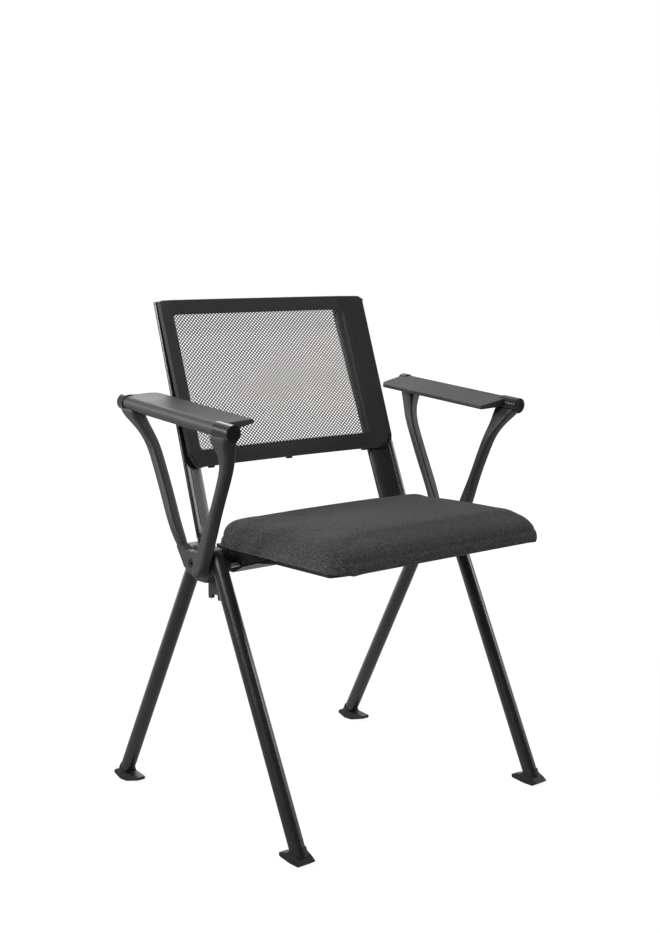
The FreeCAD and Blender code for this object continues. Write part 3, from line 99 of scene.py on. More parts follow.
class ChairCushion(bpy.types.PropertyGroup):
    """Shape and cloth of the seat cushion."""

    voxel: bpy.props.FloatProperty(
        name="Voxel", description="Edge length of the remeshed cushion",
        default=0.005, min=0.003, max=0.01, unit="LENGTH")
    pressure: bpy.props.FloatProperty(
        name="Pressure", description="Stuffing pressure in the cloth simulation", default=4.0, min=0.0)
    swell: bpy.props.FloatProperty(
        name="Swell limit", description="Furthest that a point may move as the cushion fills",
        default=0.003, min=0.0, unit="LENGTH")
    crown: bpy.props.FloatProperty(
        name="Crown", description="Rise of the top's middle over its rim",
        default=0.007, unit="LENGTH")
    seam_height: bpy.props.FloatProperty(
        name="Seam", description="Height of the sewn seam over the shell",
        default=0.4605, unit="LENGTH")
    seam_depth: bpy.props.FloatProperty(
        name="Seam depth", description="Depth of the groove that the seam pulls in",
        default=0.0014, unit="LENGTH")
    fall: bpy.props.FloatProperty(
        name="Front fall", description="Drop of the top at the front edge",
        default=0.014, unit="LENGTH")
    stitch: bpy.props.FloatProperty(
        name="Stitch", description="Distance between stitches along the seam",
        default=0.0055, unit="LENGTH")
    thread: bpy.props.FloatVectorProperty(
        name="Thread", description="Colour of the fabric's yarns", subtype="COLOR",
        default=(0.010, 0.010, 0.0105), min=0.0, max=1.0)
    fleck: bpy.props.FloatVectorProperty(
        name="Fleck", description="Colour of the lighter yarns", subtype="COLOR",
        default=(0.082, 0.082, 0.084), min=0.0, max=1.0)
    yarn: bpy.props.FloatProperty(
        name="Yarn", description="Distance between yarns", default=0.0014, unit="LENGTH")


class ChairMesh(bpy.types.PropertyGroup):
    """The back's stretched mesh."""

    pitch: bpy.props.FloatProperty(
        name="Pitch", description="Distance between the holes of a row",
        default=0.0074, unit="LENGTH")
    rise: bpy.props.FloatProperty(
        name="Rise", description="Height of two rows of holes", default=0.0061, unit="LENGTH")
    hole: bpy.props.FloatProperty(
        name="Hole", description="How far the holes open", default=0.50, min=0.1, max=0.95,
        subtype="FACTOR")
    colour: bpy.props.FloatVectorProperty(
        name="Colour", description="Colour of the mesh's strands", subtype="COLOR",
        default=(0.045, 0.045, 0.046), min=0.0, max=1.0)
    hem: bpy.props.FloatProperty(
        name="Hem", description="Diameter of the beading round the mesh",
        default=0.0016, unit="LENGTH")
    stitch: bpy.props.FloatProperty(
        name="Stitch", description="Distance between stitches along the window",
        default=0.005, unit="LENGTH")


class ChairStudio(bpy.types.PropertyGroup):
    """Camera and light."""

    lens: bpy.props.FloatProperty(
        name="Lens", description="Focal length in millimetres", default=56.2)
    key_power: bpy.props.FloatProperty(
        name="Key light", description="Power of the large side light", default=72.0)
    fill_power: bpy.props.FloatProperty(
        name="Fill light", description="Power of the fill and rim lights", default=24.0)
    edge_power: bpy.props.FloatProperty(
        name="Edge light", description="Power of the light behind the chair on the left",
        default=60.0)


def new_object(name, mesh):
    """A mesh object in the scene, at the origin."""
    obj = bpy.data.objects.new(name, mesh)
    bpy.context.scene.collection.objects.link(obj)
    return obj


def merged_copy(node):
    """A merged copy of a CAD node's mesh, as a bmesh."""
    shape = bmesh.new()
    shape.from_mesh(NODES[node].data)
    bmesh.ops.remove_doubles(shape, verts=shape.verts, dist=1e-5)
    return shape


def baked(obj):
    """The evaluated mesh of obj, with its modifiers removed and applied."""
    graph = bpy.context.evaluated_depsgraph_get()
    mesh = bpy.data.meshes.new_from_object(obj.evaluated_get(graph), depsgraph=graph)
    obj.modifiers.clear()
    old = obj.data
    obj.data = mesh
    if isinstance(old, bpy.types.Mesh):
        bpy.data.meshes.remove(old)
    return obj


def smooth(obj, angle=40.0):
    """Smooth shading with sharp edges kept."""
    obj.data.shade_smooth()
    obj.data.set_sharp_from_angle(angle=math.radians(angle))


def paint(obj, material):
    """Give obj one material."""
    obj.data.materials.clear()
    obj.data.materials.append(material)


def geometry_group(name, inputs):
    """An empty geometry group for a path, with named sockets, its two ends returned with it."""
    tree = bpy.data.node_groups.new(name, "GeometryNodeTree")
    tree.is_modifier = True
    tree.interface.new_socket("Path", in_out="INPUT", socket_type="NodeSocketGeometry")
    for label, kind, default in inputs:
        socket = tree.interface.new_socket(label, in_out="INPUT", socket_type=kind)
        if default is not None:
            socket.default_value = default
    tree.interface.new_socket("Geometry", in_out="OUTPUT", socket_type="NodeSocketGeometry")
    return tree, tree.nodes.new("NodeGroupInput"), tree.nodes.new("NodeGroupOutput")


def finished(tree, start, end, geometry):
    """Smooth shading and the material, on the way to the group's output."""
    even = tree.nodes.new("GeometryNodeSetShadeSmooth")
    tree.links.new(geometry, even.inputs["Geometry"])
    dress = tree.nodes.new("GeometryNodeSetMaterial")
    tree.links.new(even.outputs["Geometry"], dress.inputs["Geometry"])
    tree.links.new(start.outputs["Material"], dress.inputs["Material"])
    tree.links.new(dress.outputs["Geometry"], end.inputs["Geometry"])


def stitch_group():
    """Stitches along a path: a short thread at each step, lying along the seam."""
    tree, start, end = geometry_group("Stitches", [
        ("Pitch", "NodeSocketFloat", 0.005), ("Length", "NodeSocketFloat", 0.0034),
        ("Radius", "NodeSocketFloat", 0.0004), ("Unevenness", "NodeSocketFloat", 0.1),
        ("Seed", "NodeSocketInt", 7), ("Material", "NodeSocketMaterial", None)])
    curve = tree.nodes.new("GeometryNodeMeshToCurve")
    tree.links.new(start.outputs["Path"], curve.inputs["Mesh"])
    steps = tree.nodes.new("GeometryNodeResampleCurve")
    steps.mode = "LENGTH"
    tree.links.new(curve.outputs["Curve"], steps.inputs["Curve"])
    tree.links.new(start.outputs["Pitch"], steps.inputs["Length"])
    thread = tree.nodes.new("GeometryNodeMeshUVSphere")
    thread.inputs["Segments"].default_value = 8
    thread.inputs["Rings"].default_value = 6
    thread.inputs["Radius"].default_value = 1.0
    turn = tree.nodes.new("FunctionNodeAlignRotationToVector")
    turn.axis = "Z"
    tangent = tree.nodes.new("GeometryNodeInputTangent")
    tree.links.new(tangent.outputs["Tangent"], turn.inputs["Vector"])
    spread = tree.nodes.new("FunctionNodeRandomValue")
    spread.data_type = "FLOAT"
    ranges = {socket.identifier: socket for socket in spread.inputs}
    tree.links.new(maths(tree, "SUBTRACT", 1.0, start.outputs["Unevenness"]), ranges["Min_001"])
    tree.links.new(maths(tree, "ADD", 1.0, start.outputs["Unevenness"]), ranges["Max_001"])
    tree.links.new(start.outputs["Seed"], ranges["Seed"])
    value = [socket for socket in spread.outputs if socket.identifier == "Value_001"][0]
    size = tree.nodes.new("ShaderNodeCombineXYZ")
    half = maths(tree, "MULTIPLY", start.outputs["Length"], 0.5)
    tree.links.new(start.outputs["Radius"], size.inputs["X"])
    tree.links.new(start.outputs["Radius"], size.inputs["Y"])
    tree.links.new(maths(tree, "MULTIPLY", half, value), size.inputs["Z"])
    copies = tree.nodes.new("GeometryNodeInstanceOnPoints")
    tree.links.new(steps.outputs["Curve"], copies.inputs["Points"])
    tree.links.new(thread.outputs["Mesh"], copies.inputs["Instance"])
    tree.links.new(turn.outputs["Rotation"], copies.inputs["Rotation"])
    tree.links.new(size.outputs["Vector"], copies.inputs["Scale"])
    real = tree.nodes.new("GeometryNodeRealizeInstances")
    tree.links.new(copies.outputs["Instances"], real.inputs["Geometry"])
    finished(tree, start, end, real.outputs["Geometry"])
    return tree


def piping_group():
    """A round cord along a path."""
    tree, start, end = geometry_group("Piping", [
        ("Radius", "NodeSocketFloat", 0.0008), ("Material", "NodeSocketMaterial", None)])
    curve = tree.nodes.new("GeometryNodeMeshToCurve")
    tree.links.new(start.outputs["Path"], curve.inputs["Mesh"])
    ring = tree.nodes.new("GeometryNodeCurvePrimitiveCircle")
    ring.inputs["Resolution"].default_value = 10
    tree.links.new(start.outputs["Radius"], ring.inputs["Radius"])
    cord = tree.nodes.new("GeometryNodeCurveToMesh")
    tree.links.new(curve.outputs["Curve"], cord.inputs["Curve"])
    tree.links.new(ring.outputs["Curve"], cord.inputs["Profile Curve"])
    finished(tree, start, end, cord.outputs["Mesh"])
    return tree


def along_path(name, points, make_group, **values):
    """A plain mesh that a geometry group makes along a closed path."""
    mesh = bpy.data.meshes.new(name)
    mesh.from_pydata(points, [(n, (n + 1) % len(points)) for n in range(len(points))], [])
    obj = new_object(name, mesh)
    modifier = obj.modifiers.new("Path", "NODES")
    modifier.node_group = make_group()
    for item in modifier.node_group.interface.items_tree:
        if item.in_out == "INPUT" and item.name in values:
            modifier[item.identifier] = values[item.name]
    baked(obj)
    paint(obj, values["Material"])
    return obj


def shader_group(name, inputs, outputs):
    """An empty shader group with named sockets, its two ends returned with it."""
    tree = bpy.data.node_groups.new(name, "ShaderNodeTree")
    for label, kind, default in inputs:
        socket = tree.interface.new_socket(label, in_out="INPUT", socket_type=kind)
        socket.default_value = default
    for label, kind in outputs:
        tree.interface.new_socket(label, in_out="OUTPUT", socket_type=kind)
    return tree, tree.nodes.new("NodeGroupInput"), tree.nodes.new("NodeGroupOutput")


def maths(tree, operation, first, second=None, third=None):
    """A math node; numbers are set and sockets are linked."""
    node = tree.nodes.new("ShaderNodeMath")
    node.operation = operation
    for socket, value in zip(node.inputs, (first, second, third)):
        if value is None:
            continue
        if isinstance(value, (int, float)):
            socket.default_value = value
        else:
            tree.links.new(value, socket)
    return node.outputs[0]


def blend(tree, kind, share, first, second):
    """A mix of two colours or two numbers; values are set and sockets are linked."""
    node = tree.nodes.new("ShaderNodeMix")
    node.data_type = kind
    for name, value in (("Factor", share), ("A", first), ("B", second)):
        if isinstance(value, bpy.types.NodeSocket):
            tree.links.new(value, node.inputs[name])
        else:
            node.inputs[name].default_value = value
    return node.outputs["Result"]


def grain_group():
    """Fine moulded or coated grain: a height, and a roughness that varies a little."""
    tree, start, end = shader_group(
        "Grain",
        [("Scale", "NodeSocketFloat", 900.0), ("Roughness", "NodeSocketFloat", 0.5),
         ("Variation", "NodeSocketFloat", 0.08),
         ("Colour", "NodeSocketColor", (0.02, 0.02, 0.02, 1.0)),
         ("Mottle", "NodeSocketFloat", 0.12)],
        [("Colour", "NodeSocketColor"), ("Roughness", "NodeSocketFloat"),
         ("Height", "NodeSocketFloat")])
    place = tree.nodes.new("ShaderNodeTexCoord")
    fine = tree.nodes.new("ShaderNodeTexNoise")
    fine.inputs["Detail"].default_value = 4.0
    tree.links.new(place.outputs["Object"], fine.inputs["Vector"])
    tree.links.new(start.outputs["Scale"], fine.inputs["Scale"])
    broad = tree.nodes.new("ShaderNodeTexNoise")
    broad.inputs["Scale"].default_value = 22.0
    broad.inputs["Detail"].default_value = 5.0
    tree.links.new(place.outputs["Object"], broad.inputs["Vector"])
    centred = maths(tree, "SUBTRACT", broad.outputs["Fac"], 0.5)
    spread = maths(tree, "MULTIPLY", centred, start.outputs["Variation"])
    rough = maths(tree, "ADD", start.outputs["Roughness"], maths(tree, "MULTIPLY", spread, 2.0))
    shade = maths(tree, "MULTIPLY_ADD", centred, start.outputs["Mottle"], 1.0)
    mix = tree.nodes.new("ShaderNodeVectorMath")
    mix.operation = "SCALE"
    tree.links.new(start.outputs["Colour"], mix.inputs[0])
    tree.links.new(shade, mix.inputs["Scale"])
    tree.links.new(mix.outputs[0], end.inputs["Colour"])
    tree.links.new(rough, end.inputs["Roughness"])
    tree.links.new(fine.outputs["Fac"], end.inputs["Height"])
    return tree


def principled(name):
    """A new material with its Principled shader."""
    material = bpy.data.materials.new(name)
    material.use_nodes = True
    return material, material.node_tree, material.node_tree.nodes["Principled BSDF"]


def bump(tree, shader, height, distance, strength=1.0):
    """A bump from a height socket into the shader's normal."""
    node = tree.nodes.new("ShaderNodeBump")
    node.inputs["Distance"].default_value = distance
    node.inputs["Strength"].default_value = strength
    tree.links.new(height, node.inputs["Height"])
    tree.links.new(node.outputs["Normal"], shader.inputs["Normal"])


def grained(name, colour, roughness, scale=900.0, depth=0.00005, metallic=0.0, specular=0.5):
    """A coated, moulded or metal surface with grain."""
    material, tree, shader = principled(name)
    grain = tree.nodes.new("ShaderNodeGroup")
    grain.node_tree = bpy.data.node_groups.get("Grain") or grain_group()
    grain.inputs["Scale"].default_value = scale
    grain.inputs["Roughness"].default_value = roughness
    grain.inputs["Colour"].default_value = (*colour, 1.0)
    tree.links.new(grain.outputs["Colour"], shader.inputs["Base Color"])
    tree.links.new(grain.outputs["Roughness"], shader.inputs["Roughness"])
    shader.inputs["Metallic"].default_value = metallic
    shader.inputs["Specular IOR Level"].default_value = specular
    bump(tree, shader, grain.outputs["Height"], depth)
    return material


def ring_group():
    """A mask of the polished rings at the ends of the arm hinges, on Object coordinates."""
    tree, start, end = shader_group(
        "Hinge rings",
        [("Across", "NodeSocketFloat", 0.3), ("Front", "NodeSocketFloat", -0.17),
         ("Barrel front", "NodeSocketFloat", -0.112), ("Barrel rear", "NodeSocketFloat", 0.135),
         ("Radius", "NodeSocketFloat", 0.0138)],
        [("Mask", "NodeSocketFloat")])
    place = tree.nodes.new("ShaderNodeTexCoord")
    hinge = HINGE["pos_m"]
    split = tree.nodes.new("ShaderNodeSeparateXYZ")
    tree.links.new(place.outputs["Object"], split.inputs[0])
    aside = maths(tree, "ABSOLUTE", split.outputs["X"])
    x = maths(tree, "SUBTRACT", aside, start.outputs["Across"])
    y = maths(tree, "SUBTRACT", split.outputs["Y"], hinge[1])
    z = maths(tree, "SUBTRACT", split.outputs["Z"], hinge[2])
    _, forth, rise = HINGE["axis"]
    # place along the hinge, then distance from it
    along = maths(tree, "MULTIPLY_ADD", y, forth, maths(tree, "MULTIPLY", z, rise))
    over = maths(tree, "SUBTRACT", maths(tree, "MULTIPLY", z, forth),
                 maths(tree, "MULTIPLY", y, rise))
    squares = maths(tree, "MULTIPLY_ADD", x, x, maths(tree, "MULTIPLY", over, over))
    near = maths(tree, "LESS_THAN", maths(tree, "SQRT", squares), start.outputs["Radius"])
    front = maths(tree, "MULTIPLY", maths(tree, "GREATER_THAN", along, start.outputs["Front"]),
                  maths(tree, "LESS_THAN", along, start.outputs["Barrel front"]))
    rear = maths(tree, "GREATER_THAN", along, start.outputs["Barrel rear"])
    ends = maths(tree, "MAXIMUM", front, rear)
    tree.links.new(maths(tree, "MULTIPLY", near, ends), end.inputs["Mask"])
    return tree


def ringed(material):
    """Polish the rings at the hinge's ends on a coated casting."""
    tree = material.node_tree
    shader = tree.nodes["Principled BSDF"]
    rings = tree.nodes.new("ShaderNodeGroup")
    rings.node_tree = ring_group()
    rings.inputs["Across"].default_value = HINGE["pos_m"][0]
    for label, kind, polished in (("Base Color", "RGBA", (0.010, 0.010, 0.010, 1.0)),
                                  ("Roughness", "FLOAT", 0.24)):
        coated = shader.inputs[label].links[0].from_socket
        mixed = blend(tree, kind, rings.outputs["Mask"], coated, polished)
        tree.links.new(mixed, shader.inputs[label])
    return material


def weave_group():
    """A plain weave on Object coordinates: a height, and a mask of the lighter yarns, dimmed as painted
    shade in the weave's dips.
    """
    tree, start, end = shader_group(
        "Weave",
        [("Pitch", "NodeSocketFloat", 0.0014), ("Fleck", "NodeSocketFloat", 0.5)],
        [("Height", "NodeSocketFloat"), ("Fleck", "NodeSocketFloat")])
    place = tree.nodes.new("ShaderNodeTexCoord")
    split = tree.nodes.new("ShaderNodeSeparateXYZ")
    tree.links.new(place.outputs["Object"], split.inputs[0])
    rate = maths(tree, "DIVIDE", math.pi, start.outputs["Pitch"])
    # Y and Z together keep the yarns running over the cushion's rim
    across = maths(tree, "MULTIPLY", split.outputs["X"], rate)
    forth = maths(tree, "ADD", split.outputs["Y"], split.outputs["Z"])
    along = maths(tree, "MULTIPLY", forth, rate)
    warp = maths(tree, "ABSOLUTE", maths(tree, "SINE", across))
    weft = maths(tree, "ABSOLUTE", maths(tree, "SINE", along))
    over = maths(tree, "MULTIPLY", maths(tree, "SINE", across), maths(tree, "SINE", along))
    top = maths(tree, "GREATER_THAN", over, 0.0)
    rows = blend(tree, "FLOAT", top, warp, weft)
    speck = tree.nodes.new("ShaderNodeTexNoise")
    speck.inputs["Scale"].default_value = 480.0
    speck.inputs["Detail"].default_value = 3.0
    speck.inputs["Roughness"].default_value = 0.7
    tree.links.new(place.outputs["Object"], speck.inputs["Vector"])
    cloudy = tree.nodes.new("ShaderNodeTexNoise")
    cloudy.inputs["Scale"].default_value = 230.0
    cloudy.inputs["Detail"].default_value = 2.0
    tree.links.new(place.outputs["Object"], cloudy.inputs["Vector"])
    flecks = maths(tree, "MULTIPLY_ADD", speck.outputs["Fac"], 0.7,
                   maths(tree, "MULTIPLY", cloudy.outputs["Fac"], 0.3))
    ramp = tree.nodes.new("ShaderNodeMapRange")
    ramp.inputs["From Min"].default_value = 0.45
    ramp.inputs["From Max"].default_value = 0.60
    tree.links.new(flecks, ramp.inputs["Value"])
    amount = maths(tree, "MULTIPLY", ramp.outputs["Result"], start.outputs["Fleck"])
    height = maths(tree, "MULTIPLY_ADD", speck.outputs["Fac"], 0.5, rows)
    tree.links.new(height, end.inputs["Height"])
    # painted shade: the lighter yarns are dimmed to 0.4 in the weave's dips and kept full on its raised
    # tops
    dip_shade = maths(tree, "MULTIPLY_ADD", rows, 0.6, 0.4)
    tree.links.new(maths(tree, "MULTIPLY", amount, dip_shade), end.inputs["Fleck"])
    return tree


def fabric_material(settings):
    """Charcoal melange upholstery."""
    material, tree, shader = principled("Melange upholstery")
    weave = tree.nodes.new("ShaderNodeGroup")
    weave.node_tree = bpy.data.node_groups.get("Weave") or weave_group()
    weave.inputs["Pitch"].default_value = settings.yarn
    weave.inputs["Fleck"].default_value = 0.8
    # the flecks carry painted shade in the weave's dips, from the Weave group's Fleck mask
    yarns = blend(tree, "RGBA", weave.outputs["Fleck"], (*settings.thread, 1.0),
                  (*settings.fleck, 1.0))
    tree.links.new(yarns, shader.inputs["Base Color"])
    shader.inputs["Roughness"].default_value = 0.92
    shader.inputs["Sheen Weight"].default_value = 0.12
    shader.inputs["Sheen Roughness"].default_value = 0.6
    shader.inputs["Specular IOR Level"].default_value = 0.2
    bump(tree, shader, weave.outputs["Height"], 0.0004, 0.8)
    return material


def lattice_group():
    """Diamond holes in a stretched mesh, on the sheet's own coordinates."""
    tree, start, end = shader_group(
        "Lattice",
        [("Pitch", "NodeSocketFloat", 0.007), ("Rise", "NodeSocketFloat", 0.006),
         ("Hole", "NodeSocketFloat", 0.6)],
        [("Strand", "NodeSocketFloat"), ("Height", "NodeSocketFloat")])
    place = tree.nodes.new("ShaderNodeUVMap")
    place.uv_map = "Sheet"
    split = tree.nodes.new("ShaderNodeSeparateXYZ")
    tree.links.new(place.outputs["UV"], split.inputs[0])
    across = maths(tree, "DIVIDE", split.outputs["X"], start.outputs["Pitch"])
    upward = maths(tree, "DIVIDE", split.outputs["Y"], start.outputs["Rise"])
    first = maths(tree, "MULTIPLY", maths(tree, "ADD", across, upward), math.pi)
    second = maths(tree, "MULTIPLY", maths(tree, "SUBTRACT", across, upward), math.pi)
    # near 1 in the middle of a hole, 0 on its strands
    depth = maths(tree, "MULTIPLY", maths(tree, "ABSOLUTE", maths(tree, "SINE", first)),
                  maths(tree, "ABSOLUTE", maths(tree, "SINE", second)))
    open_from = maths(tree, "MULTIPLY", maths(tree, "SUBTRACT", 1.0, start.outputs["Hole"]), 0.9)
    strand = tree.nodes.new("ShaderNodeMapRange")
    tree.links.new(depth, strand.inputs["Value"])
    tree.links.new(open_from, strand.inputs["From Min"])
    tree.links.new(maths(tree, "ADD", open_from, 0.06), strand.inputs["From Max"])
    strand.inputs["To Min"].default_value = 1.0
    strand.inputs["To Max"].default_value = 0.0
    tree.links.new(strand.outputs["Result"], end.inputs["Strand"])
    tree.links.new(maths(tree, "SUBTRACT", 1.0, depth), end.inputs["Height"])
    return tree


def mesh_material(settings):
    """Black stretched mesh with open holes."""
    material, tree, shader = principled("Back mesh")
    lattice = tree.nodes.new("ShaderNodeGroup")
    lattice.node_tree = bpy.data.node_groups.get("Lattice") or lattice_group()
    lattice.inputs["Pitch"].default_value = settings.pitch
    lattice.inputs["Rise"].default_value = settings.rise
    lattice.inputs["Hole"].default_value = settings.hole
    # painted shade: the strands go from their own colour on their crowns to near black where they dip
    # towards the holes
    shaded_strands = blend(tree, "RGBA", lattice.outputs["Height"], (0.004, 0.004, 0.0045, 1.0),
                 (*settings.colour, 1.0))
    tree.links.new(shaded_strands, shader.inputs["Base Color"])
    tree.links.new(lattice.outputs["Strand"], shader.inputs["Alpha"])
    shader.inputs["Roughness"].default_value = 0.6
    shader.inputs["Specular IOR Level"].default_value = 0.35
    bump(tree, shader, lattice.outputs["Height"], 0.0003, 0.6)
    return material


def wood_material():
    """Raw plywood for the hidden board."""
    material, tree, shader = principled("Plywood")
    place = tree.nodes.new("ShaderNodeTexCoord")
    layers = tree.nodes.new("ShaderNodeTexWave")
    layers.wave_type = "BANDS"
    layers.bands_direction = "Z"
    layers.inputs["Scale"].default_value = 160.0
    layers.inputs["Distortion"].default_value = 1.5
    tree.links.new(place.outputs["Object"], layers.inputs["Vector"])
    veneers = blend(tree, "RGBA", layers.outputs["Fac"], (0.42, 0.27, 0.14, 1.0),
                    (0.60, 0.44, 0.27, 1.0))
    tree.links.new(veneers, shader.inputs["Base Color"])
    shader.inputs["Roughness"].default_value = 0.7
    bump(tree, shader, layers.outputs["Fac"], 0.0001)
    return material


class CHAIR_OT_frame_finish(bpy.types.Operator):
    """Coat the tubes, castings, metal and plastic pieces"""

    bl_idname = "chair.frame_finish"
    bl_label = "Frame Finish"

    def execute(self, context):
        settings = context.scene.chair_finish
        tube = grained("Powder-coated tube", settings.tube_colour, settings.tube_roughness,
                       1400.0, 0.00006, specular=1.0)
        coat = (settings.casting_colour, settings.casting_roughness, 1100.0, 0.00008)
        casting = grained("Coated casting", *coat)
        bracket = ringed(grained("Coated bracket", *coat))
        arm = grained("Moulded arm pad", settings.arm_colour, 0.52, 1600.0, 0.00006)
        plastic = grained("Black plastic", settings.plastic_colour, 0.42, 1200.0, 0.00005)
        shell = grained("Seat shell plastic", settings.plastic_colour, 0.34, 1200.0, 0.00005)
        gloss = grained("Polished black", (0.012, 0.012, 0.012), 0.2, 1500.0, 0.00001)
        natural = grained("Natural bearing plastic", (0.62, 0.61, 0.57), 0.45)
        steel = grained("Bright steel", settings.steel_colour, 0.28, 1500.0, 0.00001, metallic=1.0)
        screw = grained("Blackened screw", (0.05, 0.05, 0.055), 0.35, 1500.0, 0.00001,
                        metallic=0.8)
        wood = wood_material()
        finish = {
            "leg": tube, "back_upright": tube, "row_connector": casting, "hub": casting,
            "arm_bracket": bracket, "foot": plastic, "arm_pin": gloss, "arm_pad": arm,
            "arm_bushes": natural, "seat_hinge": tube, "seat_bush": plastic,
        }
        single = {
            "seat_axle": steel, "axle_collars": plastic, "seat_stop_pins": steel,
            "row_connector_screws": screw, "upright_plates": steel, "upright_bolts": screw,
            "back_frame": plastic, "back_mesh": plastic, "back_frame_screws": screw,
            "mesh_clips": plastic, "bracket_screws": screw, "arm_hinge_caps": gloss,
            "seat_cushion": plastic, "seat_board": wood, "seat_shell": shell,
            "seat_hinge_screws": screw, "seat_shell_screws": screw,
        }
        for name, node in NODES.items():
            kinds = [ending for ending in finish if name.endswith(ending)]
            material = finish[kinds[0]] if kinds else single.get(name)
            if material is None:
                raise RuntimeError("no finish for " + name)
            paint(node, material)
        return {"FINISHED"}


class CHAIR_OT_seat_cushion(bpy.types.Operator):
    """Make the upholstered cushion from its CAD solid"""

    bl_idname = "chair.seat_cushion"
    bl_label = "Seat Cushion"

    def execute(self, context):
        settings = context.scene.chair_cushion
        low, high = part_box("seat_cushion")
        shape = merged_copy("seat_cushion")
        obj = new_object("seat_cushion_cover", bpy.data.meshes.new("seat_cushion_cover"))
        shape.to_mesh(obj.data)
        shape.free()
        remesh = obj.modifiers.new("Remesh", "REMESH")
        remesh.mode = "VOXEL"
        remesh.voxel_size = settings.voxel
        baked(obj)
        self.shape_rim(obj, low, high, settings.fall)
        self.fill(context, obj, settings, low)
        soft = obj.vertex_groups.new(name="Soft")
        above = [vertex.index for vertex in obj.data.vertices if vertex.co.z > low.z + BOARD_BAND]
        soft.add(above, 1.0, "REPLACE")
        relax = obj.modifiers.new("Relax", "SMOOTH")
        relax.factor = 0.5
        relax.iterations = 7
        relax.vertex_group = soft.name
        baked(obj)
        self.crown_top(obj, settings, low, high)
        subdivide = obj.modifiers.new("Subdivision", "SUBSURF")
        subdivide.levels = subdivide.render_levels = 1
        baked(obj)
        self.sew(obj, settings)
        smooth(obj, 80.0)
        paint(obj, fabric_material(settings))
        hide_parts("seat_cushion")
        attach(obj, "seat")
        thread = grained("Seat thread", (0.030, 0.030, 0.031), 0.7, 2400.0, 0.00004)
        stitches = along_path(
            "seat_seam_stitches", self.seam_path(obj, settings, low, high), stitch_group,
            Pitch=settings.stitch, Length=settings.stitch * 0.66, Radius=0.00045, Seed=11,
            Material=thread)
        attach(stitches, "seat")
        return {"FINISHED"}

    @staticmethod
    def seam_path(obj, settings, low, high):
        """Points round the cushion, on its surface just above the seam's groove."""
        shape = bmesh.new()
        shape.from_mesh(obj.data)
        tree = BVHTree.FromBMesh(shape)
        shape.free()
        above_groove, off_cloth, count = 0.0034, 0.0001, 480
        middle = Vector((0.0, (low.y + high.y) / 2, settings.seam_height + above_groove))
        points = []
        for step in range(count):
            angle = math.tau * step / count
            away = Vector((math.cos(angle), math.sin(angle), 0.0))
            hit = tree.ray_cast(middle + away, -away)[0]
            points.append(hit + away * off_cloth)
        return points

    @staticmethod
    def shape_rim(obj, low, high, fall):
        """Let the fabric's lower edge stand over the shell and the front fall like a wave."""
        tall = high.z - low.z
        front_depth, corner_drop = 0.07, 0.004
        widest, stand_out, hang = 0.42, 0.0022, 0.004
        for vertex in obj.data.vertices:
            co = vertex.co
            rise = (co.z - low.z) / tall
            front = max(0.0, 1.0 - (co.y - low.y) / front_depth)
            corner = max(0.0, (abs(co.x) - high.x * 0.55) / (high.x * 0.45))
            drop = fall * front ** 2 + corner_drop * front * corner ** 2
            co.z -= drop * max(0.0, rise) ** 0.6
            if rise >= widest:
                continue
            # below the widest line the side stands out and hangs over the shell's rim
            share = 1.0 - rise / widest
            side = max(0.0, min(1.0, (vertex.normal.z + 0.95) / 0.3))
            out = Vector((vertex.normal.x, vertex.normal.y, 0.0))
            if out.length > 0.1:
                co += out.normalized() * stand_out * share * side
                co.z -= hang * share * side

    @staticmethod
    def fill(context, obj, settings, low):
        """Swell the cushion with a short cloth simulation, and limit how far it moves."""
        last_step = 20
        before = [vertex.co.copy() for vertex in obj.data.vertices]
        pinned = obj.vertex_groups.new(name="Board")
        under = [vertex.index for vertex in obj.data.vertices if vertex.co.z < low.z + BOARD_BAND]
        pinned.add(under, 1.0, "REPLACE")
        cloth = obj.modifiers.new("Cloth", "CLOTH")
        cloth.settings.quality = 5
        cloth.settings.mass = 0.3
        cloth.settings.tension_stiffness = 15.0
        cloth.settings.compression_stiffness = 15.0
        cloth.settings.bending_stiffness = 2.0
        cloth.settings.vertex_group_mass = pinned.name
        cloth.settings.use_pressure = True
        cloth.settings.uniform_pressure_force = settings.pressure
        cloth.settings.effector_weights.gravity = 0.0
        cloth.point_cache.frame_start = 1
        cloth.point_cache.frame_end = last_step
        for step in range(1, last_step + 1):
            context.scene.frame_set(step)
        baked(obj)
        context.scene.frame_set(1)
        for vertex, start in zip(obj.data.vertices, before):
            move = vertex.co - start
            if move.length > settings.swell:
                move *= settings.swell / move.length
            vertex.co = start + move

    @staticmethod
    def crown_top(obj, settings, low, high):
        """Raise the middle of the top and ease the rim, within the CAD solid's box."""
        half_x = (high.x - low.x) / 2
        half_y = (high.y - low.y) / 2
        middle_y = (high.y + low.y) / 2
        starts_at, grows_over, settle = 0.018, 0.02, 0.002
        for vertex in obj.data.vertices:
            co = vertex.co
            if co.z < low.z + starts_at:
                continue
            rise = min(1.0, (co.z - low.z - starts_at) / grows_over)
            u = min(1.0, abs(co.x) / half_x)
            v = min(1.0, abs(co.y - middle_y) / half_y)
            dome = (1 - u ** 2.6) * (1 - v ** 2.6)
            co.z += rise * (settings.crown * dome - settle)

    @staticmethod
    def sew(obj, settings):
        """Press the seam's groove into the rim."""
        groove_width = 0.0030
        for vertex in obj.data.vertices:
            height = (vertex.co.z - settings.seam_height) / groove_width
            if abs(height) < 3.0 and abs(vertex.normal.z) < 0.85:
                vertex.co -= vertex.normal * settings.seam_depth * math.exp(-height * height)


